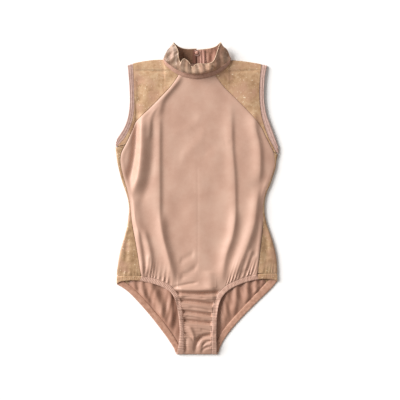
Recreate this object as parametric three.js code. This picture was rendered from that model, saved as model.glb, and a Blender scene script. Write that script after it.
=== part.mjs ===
// A sleeveless, high-necked leotard laid flat on its back.
// Millimetres, +Z up off the surface, +Y towards the collar, +X to the right as seen from above.
// "Left" and "right" are as seen from above. The origin is under the middle of the garment.
import * as THREE from "three";

// Driving sizes
const clothThickness = 1.2;
const bindingThickness = 1.8;
const collarThickness = 1.2;
const bandThickness = 1.6;
const facingThickness = 0.9;
const seamGap = 0.3;
const foldHeight = 5;          // height of the two layers at a side, shoulder or crotch fold
const bodyRise = 4;            // how much higher the front stands away from its edges
const riseLength = 30;         // over which the front rises from an edge
const foldRadius = foldHeight / 2;
const edgeCalm = 22;           // creases fade out over this distance from an edge
const crotchY = -358;          // the lowest edge of the garment
const slitHalf = 0.9;          // half the width of the slit at centre back
const buttonRadius = 5.2;
const buttonHeight = 4.2;
const loopCord = 1.6;
const buttonUp = 2.62;         // place of the button up the collar: 2 is its middle, 3 its edge

const clothColor = 0xcfaa96;
const laceColor = 0xc9a57c;
const bindingColor = 0xcba08e;
const facingColor = 0xd4aa9c;

// The front outline, a row for each level from the shoulder down: edge of the front at each side
const outline = [
  { y: 322, leftX: -160, rightX: 161 },
  { y: 306, leftX: -159.6, rightX: 161 },
  { y: 284, leftX: -157.5, rightX: 156.5 },
  { y: 261, leftX: -155.7, rightX: 154.6 },
  { y: 236, leftX: -154.6, rightX: 153.9 },
  { y: 217, leftX: -154.8, rightX: 155.2 },
  { y: 194, leftX: -157.5, rightX: 159.4 },
  { y: 176, leftX: -162.1, rightX: 165.4 },
  { y: 160, leftX: -169, rightX: 171.6 },
  { y: 144, leftX: -179.4, rightX: 177.4 },
  { y: 130, leftX: -187.4, rightX: 182.4 },
  { y: 112, leftX: -186.8, rightX: 187.9 },
  { y: 88, leftX: -184, rightX: 183 },
  { y: 70, leftX: -180.5, rightX: 180.6 },
  { y: 52, leftX: -175.9, rightX: 175 },
  { y: 33, leftX: -170.2, rightX: 168.8 },
  { y: 15, leftX: -163.8, rightX: 161 },
  { y: -3, leftX: -158.7, rightX: 156.4 },
  { y: -22, leftX: -156.4, rightX: 155.2 },
  { y: -40, leftX: -157.5, rightX: 156.6 },
  { y: -59, leftX: -159.8, rightX: 160.6 },
  { y: -77, leftX: -163.8, rightX: 166.8 },
  { y: -95, leftX: -169, rightX: 173 },
  { y: -114, leftX: -174.8, rightX: 178.2 },
  { y: -132, leftX: -178.7, rightX: 182 },
  { y: -151, leftX: -181.7, rightX: 184 },
  { y: -169, leftX: -184, rightX: 184.8 },
  { y: -200, leftX: -185.2, rightX: 185 },
];

// Seam between the front panel and the lace, from the neck to the hip
const frontSeam = [
  { y: 286, leftX: -40, rightX: 40 },
  { y: 258, leftX: -59.3, rightX: 60.5 },
  { y: 239, leftX: -76.8, rightX: 79.3 },
  { y: 204, leftX: -111.5, rightX: 114.5 },
  { y: 179, leftX: -138, rightX: 137 },
  { y: 161, leftX: -146.5, rightX: 149.5 },
  { y: 146, leftX: -153, rightX: 156.5 },
  { y: 125, leftX: -163.2, rightX: 167 },
  { y: 106, leftX: -173, rightX: 176.2 },
  { y: 88, leftX: -176, rightX: 178.4 },
  { y: 72, leftX: -174.2, rightX: 177 },
  { y: 50, leftX: -169, rightX: 171 },
  { y: 18, leftX: -160, rightX: 158.4 },
  { y: -20, leftX: -153, rightX: 151.4 },
  { y: -56, leftX: -149, rightX: 152 },
  { y: -109, leftX: -139.4, rightX: 146.4 },
  { y: -155, leftX: -132, rightX: 141 },
  { y: -178, leftX: -128, rightX: 138.6 },
];

// Seam between the back halves and the lace, hidden under the front
const backSeam = [
  { y: 304, leftX: -45, rightX: 45 },
  { y: 258, leftX: -64, rightX: 65 },
  { y: 239, leftX: -81, rightX: 83 },
  { y: 204, leftX: -114, rightX: 116 },
  { y: 179, leftX: -136, rightX: 138 },
  { y: 146, leftX: -152, rightX: 152 },
  { y: 106, leftX: -160, rightX: 158 },
  { y: 72, leftX: -156, rightX: 154 },
  { y: 18, leftX: -142, rightX: 140 },
  { y: -20, leftX: -136, rightX: 134 },
  { y: -56, leftX: -136, rightX: 136 },
  { y: -109, leftX: -142, rightX: 145 },
  { y: -155, leftX: -152, rightX: 154 },
  { y: -206, leftX: -159, rightX: 159 },
];

// Edge where the lace meets the armhole binding, front and back alike
const armholeSeam = [
  { y: 322, leftX: -147.4, rightX: 149 },
  { y: 306, leftX: -146.8, rightX: 147.6 },
  { y: 284, leftX: -145.8, rightX: 145 },
  { y: 261, leftX: -144.9, rightX: 143.4 },
  { y: 236, leftX: -144, rightX: 143 },
  { y: 217, leftX: -143.8, rightX: 144.2 },
  { y: 194, leftX: -145.6, rightX: 147.3 },
  { y: 177, leftX: -148.9, rightX: 151.4 },
  { y: 159, leftX: -155.6, rightX: 157 },
  { y: 139, leftX: -166.1, rightX: 164.6 },
  { y: 128, leftX: -176, rightX: 170.4 },
  { y: 118, leftX: -184.6, rightX: 175.6 },
  { y: 104, leftX: -188, rightX: 182.6 },
];

// Where the armhole binding turns under at each underarm: its free edge and its seam edge
const underarm = {
  left: { freeY: 131, seamY: 118.6 },
  right: { freeY: 114, seamY: 102.6 },
};

// Front leg binding from the hip to the crotch: free edge and the edge sewn to the body
const frontLeg = {
  left: [
    { freeX: -184.6, freeY: -194.8, seamX: -183.6, seamY: -177.2 },
    { freeX: -173.6, freeY: -190.4, seamX: -172, seamY: -177 },
    { freeX: -156, freeY: -188.2, seamX: -155, seamY: -176.8 },
    { freeX: -134, freeY: -188.6, seamX: -128, seamY: -177.6 },
    { freeX: -108, freeY: -193.8, seamX: -103.5, seamY: -182 },
    { freeX: -87, freeY: -200.4, seamX: -80.5, seamY: -190 },
    { freeX: -68.5, freeY: -209, seamX: -61, seamY: -200 },
    { freeX: -57.5, freeY: -219, seamX: -48.8, seamY: -213 },
    { freeX: -50.4, freeY: -232, seamX: -41, seamY: -228 },
    { freeX: -45.4, freeY: -250, seamX: -35.6, seamY: -247 },
    { freeX: -41.4, freeY: -279, seamX: -31.4, seamY: -278 },
    { freeX: -39.6, freeY: -316, seamX: -29.4, seamY: -316 },
    { freeX: -41, freeY: -352, seamX: -29.6, seamY: -352 },
  ],
  right: [
    { freeX: 184.6, freeY: -188.8, seamX: 184.2, seamY: -171.4 },
    { freeX: 172, freeY: -185.6, seamX: 171, seamY: -171.8 },
    { freeX: 152, freeY: -184.6, seamX: 155, seamY: -172 },
    { freeX: 132, freeY: -187, seamX: 138.6, seamY: -173.4 },
    { freeX: 112.5, freeY: -192, seamX: 113, seamY: -179.8 },
    { freeX: 92, freeY: -199.8, seamX: 89.5, seamY: -188.2 },
    { freeX: 73.5, freeY: -210, seamX: 67, seamY: -199.4 },
    { freeX: 60, freeY: -223.4, seamX: 50.6, seamY: -215 },
    { freeX: 52, freeY: -238, seamX: 42.6, seamY: -229.6 },
    { freeX: 47.6, freeY: -257, seamX: 37.4, seamY: -250 },
    { freeX: 45.2, freeY: -284, seamX: 34.6, seamY: -279 },
    { freeX: 44.6, freeY: -320, seamX: 33.8, seamY: -316 },
    { freeX: 45.4, freeY: -352, seamX: 33.8, seamY: -352 },
  ],
};

// Back leg binding from the hip to the crotch, lying on the surface
const backLeg = {
  left: [
    { freeX: -184, freeY: -197.6, seamX: -182, seamY: -182 },
    { freeX: -172, freeY: -204.4, seamX: -168, seamY: -193 },
    { freeX: -157.5, freeY: -215.2, seamX: -152, seamY: -204.6 },
    { freeX: -140.3, freeY: -232.2, seamX: -134, seamY: -220.6 },
    { freeX: -123, freeY: -251.4, seamX: -117.5, seamY: -238 },
    { freeX: -105.8, freeY: -271.4, seamX: -100, seamY: -258 },
    { freeX: -90.4, freeY: -291, seamX: -83, seamY: -278 },
    { freeX: -75, freeY: -311.4, seamX: -67, seamY: -299 },
    { freeX: -62, freeY: -330, seamX: -53.5, seamY: -319 },
    { freeX: -52.5, freeY: -345, seamX: -43, seamY: -336.4 },
  ],
  right: [
    { freeX: 184, freeY: -190.8, seamX: 182, seamY: -176.6 },
    { freeX: 173, freeY: -204, seamX: 167.4, seamY: -188.6 },
    { freeX: 157.6, freeY: -219.6, seamX: 152, seamY: -204 },
    { freeX: 139.6, freeY: -236.8, seamX: 134, seamY: -222.8 },
    { freeX: 121.8, freeY: -254.6, seamX: 116, seamY: -241.6 },
    { freeX: 104, freeY: -272.6, seamX: 98, seamY: -260.8 },
    { freeX: 88, freeY: -290.4, seamX: 81.6, seamY: -278.6 },
    { freeX: 72.4, freeY: -309.6, seamX: 65.4, seamY: -298 },
    { freeX: 60.6, freeY: -326.8, seamX: 51.6, seamY: -318 },
    { freeX: 52.6, freeY: -343, seamX: 43.4, seamY: -335.6 },
  ],
};

// Top of each shoulder, from the armhole to the neck
const shoulderTop = {
  left: [
    { x: -161, y: 305.6 },
    { x: -147, y: 310.4 },
    { x: -131, y: 314 },
    { x: -108, y: 317.6 },
    { x: -90, y: 319 },
    { x: -74, y: 319 },
  ],
  right: [
    { x: 74, y: 318 },
    { x: 90, y: 317.2 },
    { x: 108, y: 315.4 },
    { x: 131, y: 312 },
    { x: 147, y: 309 },
    { x: 162, y: 305.4 },
  ],
};
const shoulderSeamY = 295.6;   // the lace seam just in front of the shoulder fold

// Neck, a row for each section from the right side of the back slit round to the left side:
// seam to the body, top of the neckband, middle and free edge of the collar
const neckSections = [
  {
    seam: [slitHalf, 299.6, 0.9], band: [slitHalf, 309.4, 1.6],
    middle: [slitHalf, 325, 4], edge: [slitHalf, 341, 8],
  },
  { seam: [30, 301, 1], band: [29, 311, 2.2], middle: [30, 328, 6], edge: [26, 342.4, 11] },
  { seam: [56, 306.4, 1.4], band: [55, 316.4, 4], middle: [54.6, 335, 10], edge: [44, 348, 16] },
  { seam: [74.2, 316.4, 2.8], band: [75.4, 324.6, 6.6], middle: [66.2, 341.6, 14], edge: [54, 356.6, 20] },
  { seam: [73, 307, 6.4], band: [72.8, 316.4, 12], middle: [65.4, 330.6, 21], edge: [48.6, 343, 25] },
  { seam: [64.4, 298, 8.2], band: [62.2, 307.2, 14.4], middle: [55, 314.6, 24], edge: [43.4, 328, 27] },
  { seam: [50, 288.4, 9.2], band: [48.6, 298.2, 15.6], middle: [43, 303.4, 25.4], edge: [36, 316.4, 27] },
  { seam: [26, 278.8, 9.4], band: [26, 288.4, 16.2], middle: [24, 293.2, 26.6], edge: [20, 308.4, 27] },
  { seam: [0, 274.6, 9.4], band: [0, 285, 16.2], middle: [0, 289.2, 26.8], edge: [-3, 306, 27] },
  { seam: [-26, 278.2, 9.4], band: [-26, 288, 16.2], middle: [-24, 293.4, 26.6], edge: [-18, 307, 27.4] },
  { seam: [-49, 287.6, 9.2], band: [-48, 297.4, 15.6], middle: [-42.6, 302.2, 25.4], edge: [-31, 315, 28] },
  { seam: [-63, 297.4, 8.2], band: [-61.8, 306.8, 14.4], middle: [-54, 315.4, 24], edge: [-41.4, 323, 27] },
  { seam: [-72.6, 307, 6.4], band: [-72.8, 316.4, 12], middle: [-65.2, 331, 21], edge: [-46.4, 340, 25] },
  { seam: [-74.2, 317.2, 2.8], band: [-74.4, 324, 6.6], middle: [-65, 341.8, 14], edge: [-54, 356.4, 20] },
  { seam: [-56, 306.4, 1.4], band: [-55, 316.4, 4], middle: [-54.4, 335.4, 10], edge: [-46, 349.4, 16] },
  { seam: [-30, 301, 1], band: [-29, 311, 2.2], middle: [-30, 328.6, 6], edge: [-26, 343.6, 11] },
  {
    seam: [-slitHalf, 299.6, 0.9], band: [-slitHalf, 309.4, 1.6],
    middle: [-slitHalf, 325, 4], edge: [-slitHalf, 341.6, 8],
  },
];
const collarRuffle = { waves: 15, depth: 2.1, stands: 8, standDepth: 1.1 };

// Creases of the front: ridges have a positive height and troughs a negative one
const creases = [
  { height: 3.6, width: 8, path: [[-124, 205], [-124, 118], [-131, 62], [-143, 18], [-148, -4]] },
  { height: -1.6, width: 9, path: [[-102, 190], [-104, 120], [-110, 62], [-124, 10], [-134, -30]] },
  { height: 2.6, width: 9, path: [[-86, 222], [-87, 0], [-86, -50], [-69, -130], [-57, -196]] },
  { height: -1.8, width: 9, path: [[-150, 152], [-158, 92], [-154, 50]] },
  { height: 2.2, width: 9, path: [[-140, -44], [-117, -92], [-108, -125], [-104, -172]] },
  { height: 1.4, width: 6, path: [[-138, -80], [-126, -140], [-125, -176]] },
  { height: 2.4, width: 9, path: [[80, 236], [80, 118], [87, 0], [86, -50], [66, -128], [55, -196]] },
  { height: 3, width: 11, path: [[132, 200], [134, 160], [143, 118], [144, 60], [139, 26]] },
  { height: 3, width: 11, path: [[139, 30], [134, 0], [125, -50], [98, -128], [85, -190]] },
  { height: 1.6, width: 6, path: [[128, -64], [118, -110], [106, -172]] },
  { height: -1, width: 6, path: [[62, 126], [72, 125], [82, 131]] },
  { height: -0.6, width: 4, path: [[1, 112], [2, -60], [1, -210]] },
  { height: 0.8, width: 8, path: [[-40, 92], [-10, 118], [24, 150]] },
  { height: -1.2, width: 5, path: [[-38, -172], [-22, -158], [-6, -138]] },
  { height: -1.5, width: 4, path: [[-50, -217], [0, -219], [46, -217]] },
  { height: -1, width: 3.2, path: [[-40, -226], [20, -229]] },
  { height: -1.4, width: 3.6, path: [[-38, -236], [0, -238], [38, -244]] },
  { height: -1, width: 3.2, path: [[-34, -251], [28, -254]] },
  { height: -1.4, width: 3.6, path: [[-34, -261], [34, -269]] },
  { height: -1.4, width: 3.6, path: [[-32, -281], [34, -288]] },
  { height: -1, width: 3.2, path: [[-30, -297], [24, -300]] },
  { height: 1.4, width: 6, path: [[-16, -296], [-2, -322]] },
  { height: -1.4, width: 3.8, path: [[0, -349], [2, -330], [17, -316], [33, -314]] },
  { height: -1, width: 3.2, path: [[-28, -316], [-6, -324]] },
];

// Gathers: short waves that fade with distance from an elastic edge
const frontGathers = [
  { fromX: -128, toX: -56, waves: 9, depth: 1.1, fade: 13 },
  { fromX: 64, toX: 136, waves: 9, depth: 1.1, fade: 13 },
  { fromX: -182, toX: -134, waves: 5, depth: 0.6, fade: 9 },
  { fromX: 142, toX: 182, waves: 4, depth: 0.6, fade: 9 },
];
const backGathers = { spacing: 22, depth: 1.5, inset: 30, fade: 55 };

// Small number helpers
const lerp = (a, b, t) => a + (b - a) * t;
const clamp = (v, low, high) => Math.min(high, Math.max(low, v));
const smooth = (t) => t * t * (3 - 2 * t);

// A smooth function of one column of a table against another
function columnCurve(rows, key, value) {
  const sorted = [...rows].sort((a, b) => a[key] - b[key]);
  const k = sorted.map((row) => row[key]);
  const v = sorted.map((row) => row[value]);
  const last = k.length - 1;
  const slope = k.map((_, i) => {
    const a = Math.max(0, i - 1);
    const b = Math.min(last, i + 1);
    return (v[b] - v[a]) / (k[b] - k[a]);
  });
  return (at) => {
    if (at <= k[0]) return v[0] + slope[0] * (at - k[0]);
    if (at >= k[last]) return v[last] + slope[last] * (at - k[last]);
    const i = k.findIndex((next, n) => n > 0 && at <= next) - 1;
    const h = k[i + 1] - k[i];
    const t = (at - k[i]) / h;
    const a = (1 + 2 * t) * (1 - t) * (1 - t);
    const b = t * (1 - t) * (1 - t);
    return a * v[i] + b * h * slope[i] + (1 - a) * v[i + 1] - t * t * (1 - t) * h * slope[i + 1];
  };
}

// Every side's curves, by name
const sides = ["left", "right"];
const sign = { left: -1, right: 1 };
const bySide = (make) => Object.fromEntries(sides.map((side) => [side, make(side)]));
const sideCurve = (rows) => bySide((side) => columnCurve(rows, "y", `${side}X`));
const outlineX = sideCurve(outline);
const frontSeamX = sideCurve(frontSeam);
const backSeamX = sideCurve(backSeam);
const armholeX = sideCurve(armholeSeam);
const shoulderY = bySide((side) => columnCurve(shoulderTop[side], "x", "y"));
const curveThrough = (points) => new THREE.CatmullRomCurve3(points, false, "centripetal");
const curve2 = (rows, x, y) => curveThrough(rows.map((row) => new THREE.Vector3(row[x], row[y], 0)));
const frontLegCurves = bySide((side) => ({
  free: curve2(frontLeg[side], "freeX", "freeY"),
  seam: curve2(frontLeg[side], "seamX", "seamY"),
}));
const backLegSeamX = bySide((side) => columnCurve(backLeg[side], "seamY", "seamX"));
const frontLegY = bySide((side) => columnCurve(
  frontLeg[side].slice(0, 10), "freeX", "freeY",
));
const neckLine = neckSections.slice(4, 13).map((row) => ({ x: row.seam[0], y: row.seam[1] }));
const neckFrontY = columnCurve(neckLine, "x", "y");

// Distance from a point to a crease, and how far along it the nearest point lies (0 to 1)
function nearestOnPath(path, x, y) {
  let best = Infinity;
  let along = 0;
  for (let i = 0; i < path.length - 1; i++) {
    const [ax, ay] = path[i];
    const [bx, by] = path[i + 1];
    const dx = bx - ax;
    const dy = by - ay;
    const t = clamp(((x - ax) * dx + (y - ay) * dy) / (dx * dx + dy * dy), 0, 1);
    const distance = Math.hypot(x - ax - t * dx, y - ay - t * dy);
    if (distance < best) {
      best = distance;
      along = (i + t) / (path.length - 1);
    }
  }
  return { distance: best, along };
}

// Distance of a front point from the nearest edge of the front
function frontEdgeDistance(x, y) {
  const side = x < 0 ? "left" : "right";
  const reach = Math.abs(x);
  let distance = (outlineX[side](Math.max(y, -200)) - x) * sign[side];
  const legStart = Math.abs(frontLeg[side][9].freeX);
  if (y < -150 && reach > legStart) distance = Math.min(distance, y - frontLegY[side](x));
  if (y < -240) distance = Math.min(distance, legStart - 2 - reach);
  const top = shoulderTop[side][side === "left" ? 5 : 0];
  if (y > 250 && reach > Math.abs(top.x)) distance = Math.min(distance, shoulderY[side](x) - y);
  return Math.max(0, distance);
}

// Height of the front's outer face above the surface
function frontZ(x, y) {
  const distance = frontEdgeDistance(x, y);
  const calm = smooth(clamp(distance / edgeCalm, 0, 1));
  let z = foldHeight + bodyRise * (1 - Math.exp(-distance / riseLength));
  for (const { height, width, path } of creases) {
    const { distance: away, along } = nearestOnPath(path, x, y);
    if (away > 3 * width) continue;
    const taper = smooth(clamp(Math.min(along, 1 - along) / 0.16, 0, 1));
    z += height * Math.exp(-((away / width) ** 2)) * (0.15 + 0.85 * taper) * Math.max(calm, 0.1);
  }
  if (y < -120 && y > -225) {
    for (const { fromX, toX, waves, depth, fade } of frontGathers) {
      if (x < fromX || x > toX) continue;
      const side = x < 0 ? "left" : "right";
      const above = Math.max(0, y - frontLegY[side](x) - 10);
      const phase = ((x - fromX) / (toX - fromX)) * waves;
      const ends = Math.sin(Math.PI * (phase / waves)) ** 0.5;
      z += depth * ends * Math.cos(2 * Math.PI * phase) * Math.exp(-above / fade);
    }
  }
  return z;
}

// Height of the back's under face: it rests on the surface but for gathers by the leg edges
function backZ(x, y) {
  if (y > -120) return 0;
  const side = x < 0 ? "left" : "right";
  const edge = backLegSeamX[side](Math.min(y, -196));
  const inward = (edge - x) * sign[side];
  const phase = (x * 0.92 + sign[side] * y * 0.32) / backGathers.spacing;
  const start = smooth(clamp((-120 - y) / 60, 0, 1));
  const calmEdge = smooth(clamp(inward / 14, 0, 1));
  const calmMiddle = smooth(clamp((Math.abs(x) - 3) / 18, 0, 1));
  const wave = 0.5 - 0.5 * Math.cos(2 * Math.PI * phase);
  const reach = Math.exp(-Math.abs(inward - backGathers.inset) / backGathers.fade);
  return backGathers.depth * wave * start * calmEdge * calmMiddle * reach;
}

// Volume inside a mesh: negative where its faces point inwards
function signedVolume(positions, index) {
  const corner = (n) => new THREE.Vector3().fromArray(positions, 3 * index[n]);
  let sum = 0;
  for (let n = 0; n < index.length; n += 3) sum += corner(n).dot(corner(n + 1).cross(corner(n + 2)));
  return sum / 6;
}

// A closed wall from rows of points, each with an outer and an inner place and a key across the row.
// Neighbouring rows may have different numbers of points. With ring set, each row closes on itself.
function wallGeometry(rows, ring = false) {
  const positions = [];
  const index = [];
  const place = (p) => positions.push(p[0], p[1], p[2]) / 3 - 1;
  const outer = rows.map((row) => row.map((p) => place(p.outer)));
  const inner = rows.map((row) => row.map((p) => place(p.inner)));
  const tri = (a, b, c) => index.push(a, b, c);
  const quad = (a, b, c, d) => {
    tri(a, b, c);
    tri(a, c, d);
  };
  for (let r = 0; r < rows.length - 1; r++) {
    const upper = rows[r];
    const lower = rows[r + 1];
    const nu = upper.length;
    const nl = lower.length;
    const endU = ring ? nu : nu - 1;
    const endL = ring ? nl : nl - 1;
    let i = 0;
    let j = 0;
    while (i < endU || j < endL) {
      const nextU = i < endU ? (i + 1 < nu ? upper[i + 1].key : 1e9) : Infinity;
      const nextL = j < endL ? (j + 1 < nl ? lower[j + 1].key : 1e9) : Infinity;
      const a = outer[r][i % nu];
      const b = outer[r + 1][j % nl];
      const c = inner[r][i % nu];
      const d = inner[r + 1][j % nl];
      if (j >= endL || (i < endU && nextU <= nextL)) {
        tri(a, b, outer[r][(i + 1) % nu]);
        tri(c, inner[r][(i + 1) % nu], d);
        i++;
      } else {
        tri(a, b, outer[r + 1][(j + 1) % nl]);
        tri(c, inner[r + 1][(j + 1) % nl], d);
        j++;
      }
    }
    if (!ring) {
      quad(outer[r][0], inner[r][0], inner[r + 1][0], outer[r + 1][0]);
      quad(outer[r][nu - 1], outer[r + 1][nl - 1], inner[r + 1][nl - 1], inner[r][nu - 1]);
    }
  }
  const rim = (o, n, flip) => {
    const count = ring ? o.length : o.length - 1;
    for (let i = 0; i < count; i++) {
      const k = (i + 1) % o.length;
      if (flip) quad(o[i], n[i], n[k], o[k]);
      else quad(o[i], o[k], n[k], n[i]);
    }
  };
  rim(outer[0], inner[0], false);
  rim(outer[outer.length - 1], inner[inner.length - 1], true);
  if (signedVolume(positions, index) < 0) index.reverse();
  const geometry = new THREE.BufferGeometry();
  geometry.setAttribute("position", new THREE.Float32BufferAttribute(positions, 3));
  geometry.setIndex(index);
  geometry.computeVertexNormals();
  return geometry;
}

// Rows of the front panel, shared by what is sewn to its sides so that the seams follow each other
const seamLevels = [
  270, 256, 242, 228, 214, 201, 189, 179, 170, 161, 150, 138, 125, 112, 100, 86, 70, 54, 36, 18, 0,
  -18, -36, -54, -72, -90, -107, -123, -138, -151, -161, -169,
];

// A front wall point, and a back wall point whose outer face is the one on the surface
const frontPoint = (x, y, key = x, thickness = clothThickness) => {
  const z = frontZ(x, y);
  return { key, outer: [x, y, z], inner: [x, y, z - thickness] };
};
const backPoint = (x, y, key = x, thickness = clothThickness) => {
  const z = backZ(x, y);
  return { key, outer: [x, y, z], inner: [x, y, z + thickness] };
};

// A point on a fold that turns from the front to the back. turn goes from 0 (top) to 1 (underside);
// the fold bulges towards (outX, outY) from its line at (x, y).
function foldPoint(x, y, outX, outY, turn, key, thickness = clothThickness) {
  const angle = Math.PI * (0.5 - turn);
  const at = (radius) => [
    x + outX * (radius * Math.cos(angle) - foldRadius),
    y + outY * (radius * Math.cos(angle) - foldRadius),
    foldRadius + radius * Math.sin(angle),
  ];
  return { key, outer: at(foldRadius), inner: at(foldRadius - thickness) };
}

// x stations between two ends: every step, with both ends kept
function stations(from, to, step) {
  const list = [from];
  const start = Math.ceil((from + step * 0.4) / step);
  for (let n = start; n * step < to - step * 0.4; n++) list.push(n * step);
  list.push(to);
  return list;
}

// The front panel runs from the neck seam to the crotch and turns under there
const neckCorner = 42.5;       // half the width of the front panel at the neck
const panelStep = { folded: 9, gathered: 4.4, strap: 7 };
function frontPanelStations(left, right, y) {
  if (y < -216) return stations(left, right, panelStep.strap);
  const [step, calmReach, skip] = y > -150 ? [panelStep.folded, 60, 2] : [panelStep.gathered, 54, 3];
  return stations(left, right, step).filter((x) => {
    const isEnd = x === left || x === right;
    return isEnd || Math.abs(x) > calmReach || Math.round(x / step) % skip === 0;
  });
}

function frontPanelRows() {
  const rows = [];
  const addRow = (left, right, midY) => {
    rows.push(frontPanelStations(left.x, right.x, midY).map((x) => {
      const s = (2 * (x - left.x)) / (right.x - left.x) - 1;
      const edgeY = s < 0 ? left.y : right.y;
      return frontPoint(x, midY + (edgeY - midY) * s * s);
    }));
  };
  const topRow = stations(-neckCorner, neckCorner, panelStep.folded);
  rows.push(topRow.map((x) => frontPoint(x, neckFrontY(x) - seamGap)));
  const edge = (side, y) => ({ x: frontSeamX[side](y) - sign[side] * seamGap / 2, y });
  for (const y of seamLevels) addRow(edge("left", y), edge("right", y), y > 250 ? y - 3 : y);
  // Along the leg seams the two ends of a row follow the binding
  const legRows = 31;
  for (let n = 0; n <= legRows; n++) {
    const t = lerp(0.235, 0.993, n / legRows);
    const ends = bySide((side) => {
      const curve = frontLegCurves[side].seam;
      const p = curve.getPointAt(t);
      const along = curve.getTangentAt(t);
      const side90 = new THREE.Vector3(along.y, -along.x, 0).multiplyScalar(side === "left" ? -1 : 1);
      return p.addScaledVector(side90, seamGap);
    });
    if (ends.left.y > edge("left", -174).y) continue;
    const y = (ends.left.y + ends.right.y) / 2;
    addRow(ends.left, ends.right, y - 5 * smooth(clamp((ends.right.x - 45) / 60, 0, 1)));
  }
  // The crotch turns under
  const left = frontLegCurves.left.seam.getPointAt(1).x + seamGap;
  const right = frontLegCurves.right.seam.getPointAt(1).x - seamGap;
  for (const turn of [0, 0.25, 0.5, 0.75, 1]) {
    rows.push(stations(left, right, panelStep.strap).map((x) => foldPoint(x, crotchY, 0, -1, turn, x)));
  }
  rows.push(stations(left, right, panelStep.strap).map((x) => backPoint(x, crotchY + 8)));
  return rows;
}

// A front yoke, from the shoulder seam down to the underarm
function frontYokeRows(side) {
  const s = sign[side];
  const rows = [];
  const levels = [291, 284, ...seamLevels.filter((y) => y > underarm[side].seamY + 9)];
  const addRow = (outX, outY, inX, inY, count) => {
    const row = [];
    for (let n = 0; n <= count; n++) {
      const t = n / count;
      const x = lerp(outX, inX, t);
      row.push(frontPoint(x, lerp(outY, inY, t), x));
    }
    rows.push(side === "left" ? row : row.reverse());
  };
  const count = (a, b) => clamp(Math.round(Math.abs(a - b) / 9), 2, 12);
  const top = shoulderSeamY - seamGap;
  const topIn = s * 60.6;
  addRow(armholeX[side](top) - s * seamGap / 2, top, topIn, neckFrontY(topIn) - seamGap * 1.4, 10);
  for (const y of levels) {
    const outX = armholeX[side](y) - s * seamGap / 2;
    let inX = frontSeamX[side](y) + s * seamGap / 2;
    let inY = y;
    if (y > 283) {
      inX = s * lerp(42.9, 60.6, (y - 284) / (top - 284));
      inY = neckFrontY(inX) - seamGap * 1.4;
    }
    addRow(outX, y, inX, inY, count(outX, inX));
  }
  const end = underarm[side].seamY + 1.2;
  const outX = armholeX[side](end) - s * (seamGap + 0.6);
  addRow(outX, end, frontSeamX[side](end + 5) + s * seamGap / 2, end + 5, 2);
  return rows;
}

// The back of a side panel reaches down past its front, to the back leg binding
const hipDrop = { left: 22, right: 24.4 };
const hipDropFrom = -66;
const hipSeamY = { left: -177, right: -171.6 };
const sideBackY = (side, y) => {
  const t = clamp((hipDropFrom - y) / (hipDropFrom - hipSeamY[side]), 0, 1);
  return y - hipDrop[side] * smooth(t) ** 2;
};

// A side panel, from the front seam round the side fold to the back seam
function sidePanelRows(side) {
  const s = sign[side];
  const top = underarm[side].seamY;
  const bottom = hipSeamY[side];
  const rows = [];
  for (const y of [top - 1, ...seamLevels.filter((level) => level < top - 1), bottom + seamGap]) {
    const lift = y === top - 1 ? 5.4 : 0;
    const edgeX = outlineX[side](y);
    const seamX = frontSeamX[side](y + lift) + s * seamGap / 2;
    const backY = sideBackY(side, y);
    const backX = backSeamX[side](backY) + s * seamGap / 2;
    const flatX = edgeX - s * foldRadius;
    const row = [];
    const frontSteps = 4;
    for (let k = 0; k < frontSteps; k++) {
      const f = k / frontSteps;
      row.push(frontPoint(lerp(seamX, flatX, f), y + lift * (1 - f), k));
    }
    [0, 0.25, 0.5, 0.75, 1].forEach((turn, k) => row.push(foldPoint(edgeX, y, s, 0, turn, frontSteps + k)));
    for (let k = 1; k <= 3; k++) {
      const f = k / 3;
      row.push(backPoint(lerp(flatX, backX, f), lerp(y, backY, f), frontSteps + 4 + k));
    }
    rows.push(side === "left" ? row.reverse().map((p) => ({ ...p, key: -p.key })) : row);
  }
  return rows;
}

// A back yoke, from the shoulder seam over the fold and down the back to the underarm
function backYokeRows(side) {
  const s = sign[side];
  const rows = [];
  const across = 6;
  const row = (make) => {
    const list = [];
    for (let n = 0; n <= across; n++) list.push(make(n / across));
    return side === "left" ? list : list.reverse();
  };
  const armSide = (y) => armholeX[side](y) - s * seamGap / 2;
  const topIn = s * 60.8;
  const foldIn = s * 78.4;
  const foldOut = armSide(309);
  rows.push(row((t) => {
    const x = lerp(armSide(shoulderSeamY), topIn, t);
    return frontPoint(x, lerp(shoulderSeamY, neckFrontY(topIn) - seamGap, t ** 4), x);
  }));
  rows.push(row((t) => {
    const x = lerp(armSide(302), s * 73.6, t);
    return frontPoint(x, lerp(302, 303.6, t), x);
  }));
  for (const turn of [0, 0.25, 0.5, 0.75, 1]) {
    rows.push(row((t) => {
      const x = lerp(foldOut, foldIn, t);
      return foldPoint(x, shoulderY[side](x), 0, 1, turn, x);
    }));
  }
  const backRow = (outY, inX, inY) => rows.push(row((t) => {
    const x = lerp(armSide(outY), inX, t);
    return backPoint(x, lerp(outY, inY, t), x);
  }));
  backRow(302, s * 63, 308.2);
  backRow(290, s * 46.4, 302.6);
  for (const y of seamLevels.filter((level) => level > underarm[side].seamY + 4)) {
    backRow(y, backSeamX[side](y) + s * seamGap / 2, y);
  }
  const end = underarm[side].seamY + 1.2;
  backRow(end, backSeamX[side](end) + s * seamGap / 2, end);
  return rows.map((list) => list.map((p) => ({ ...p, key: p.outer[0] })));
}

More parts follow.
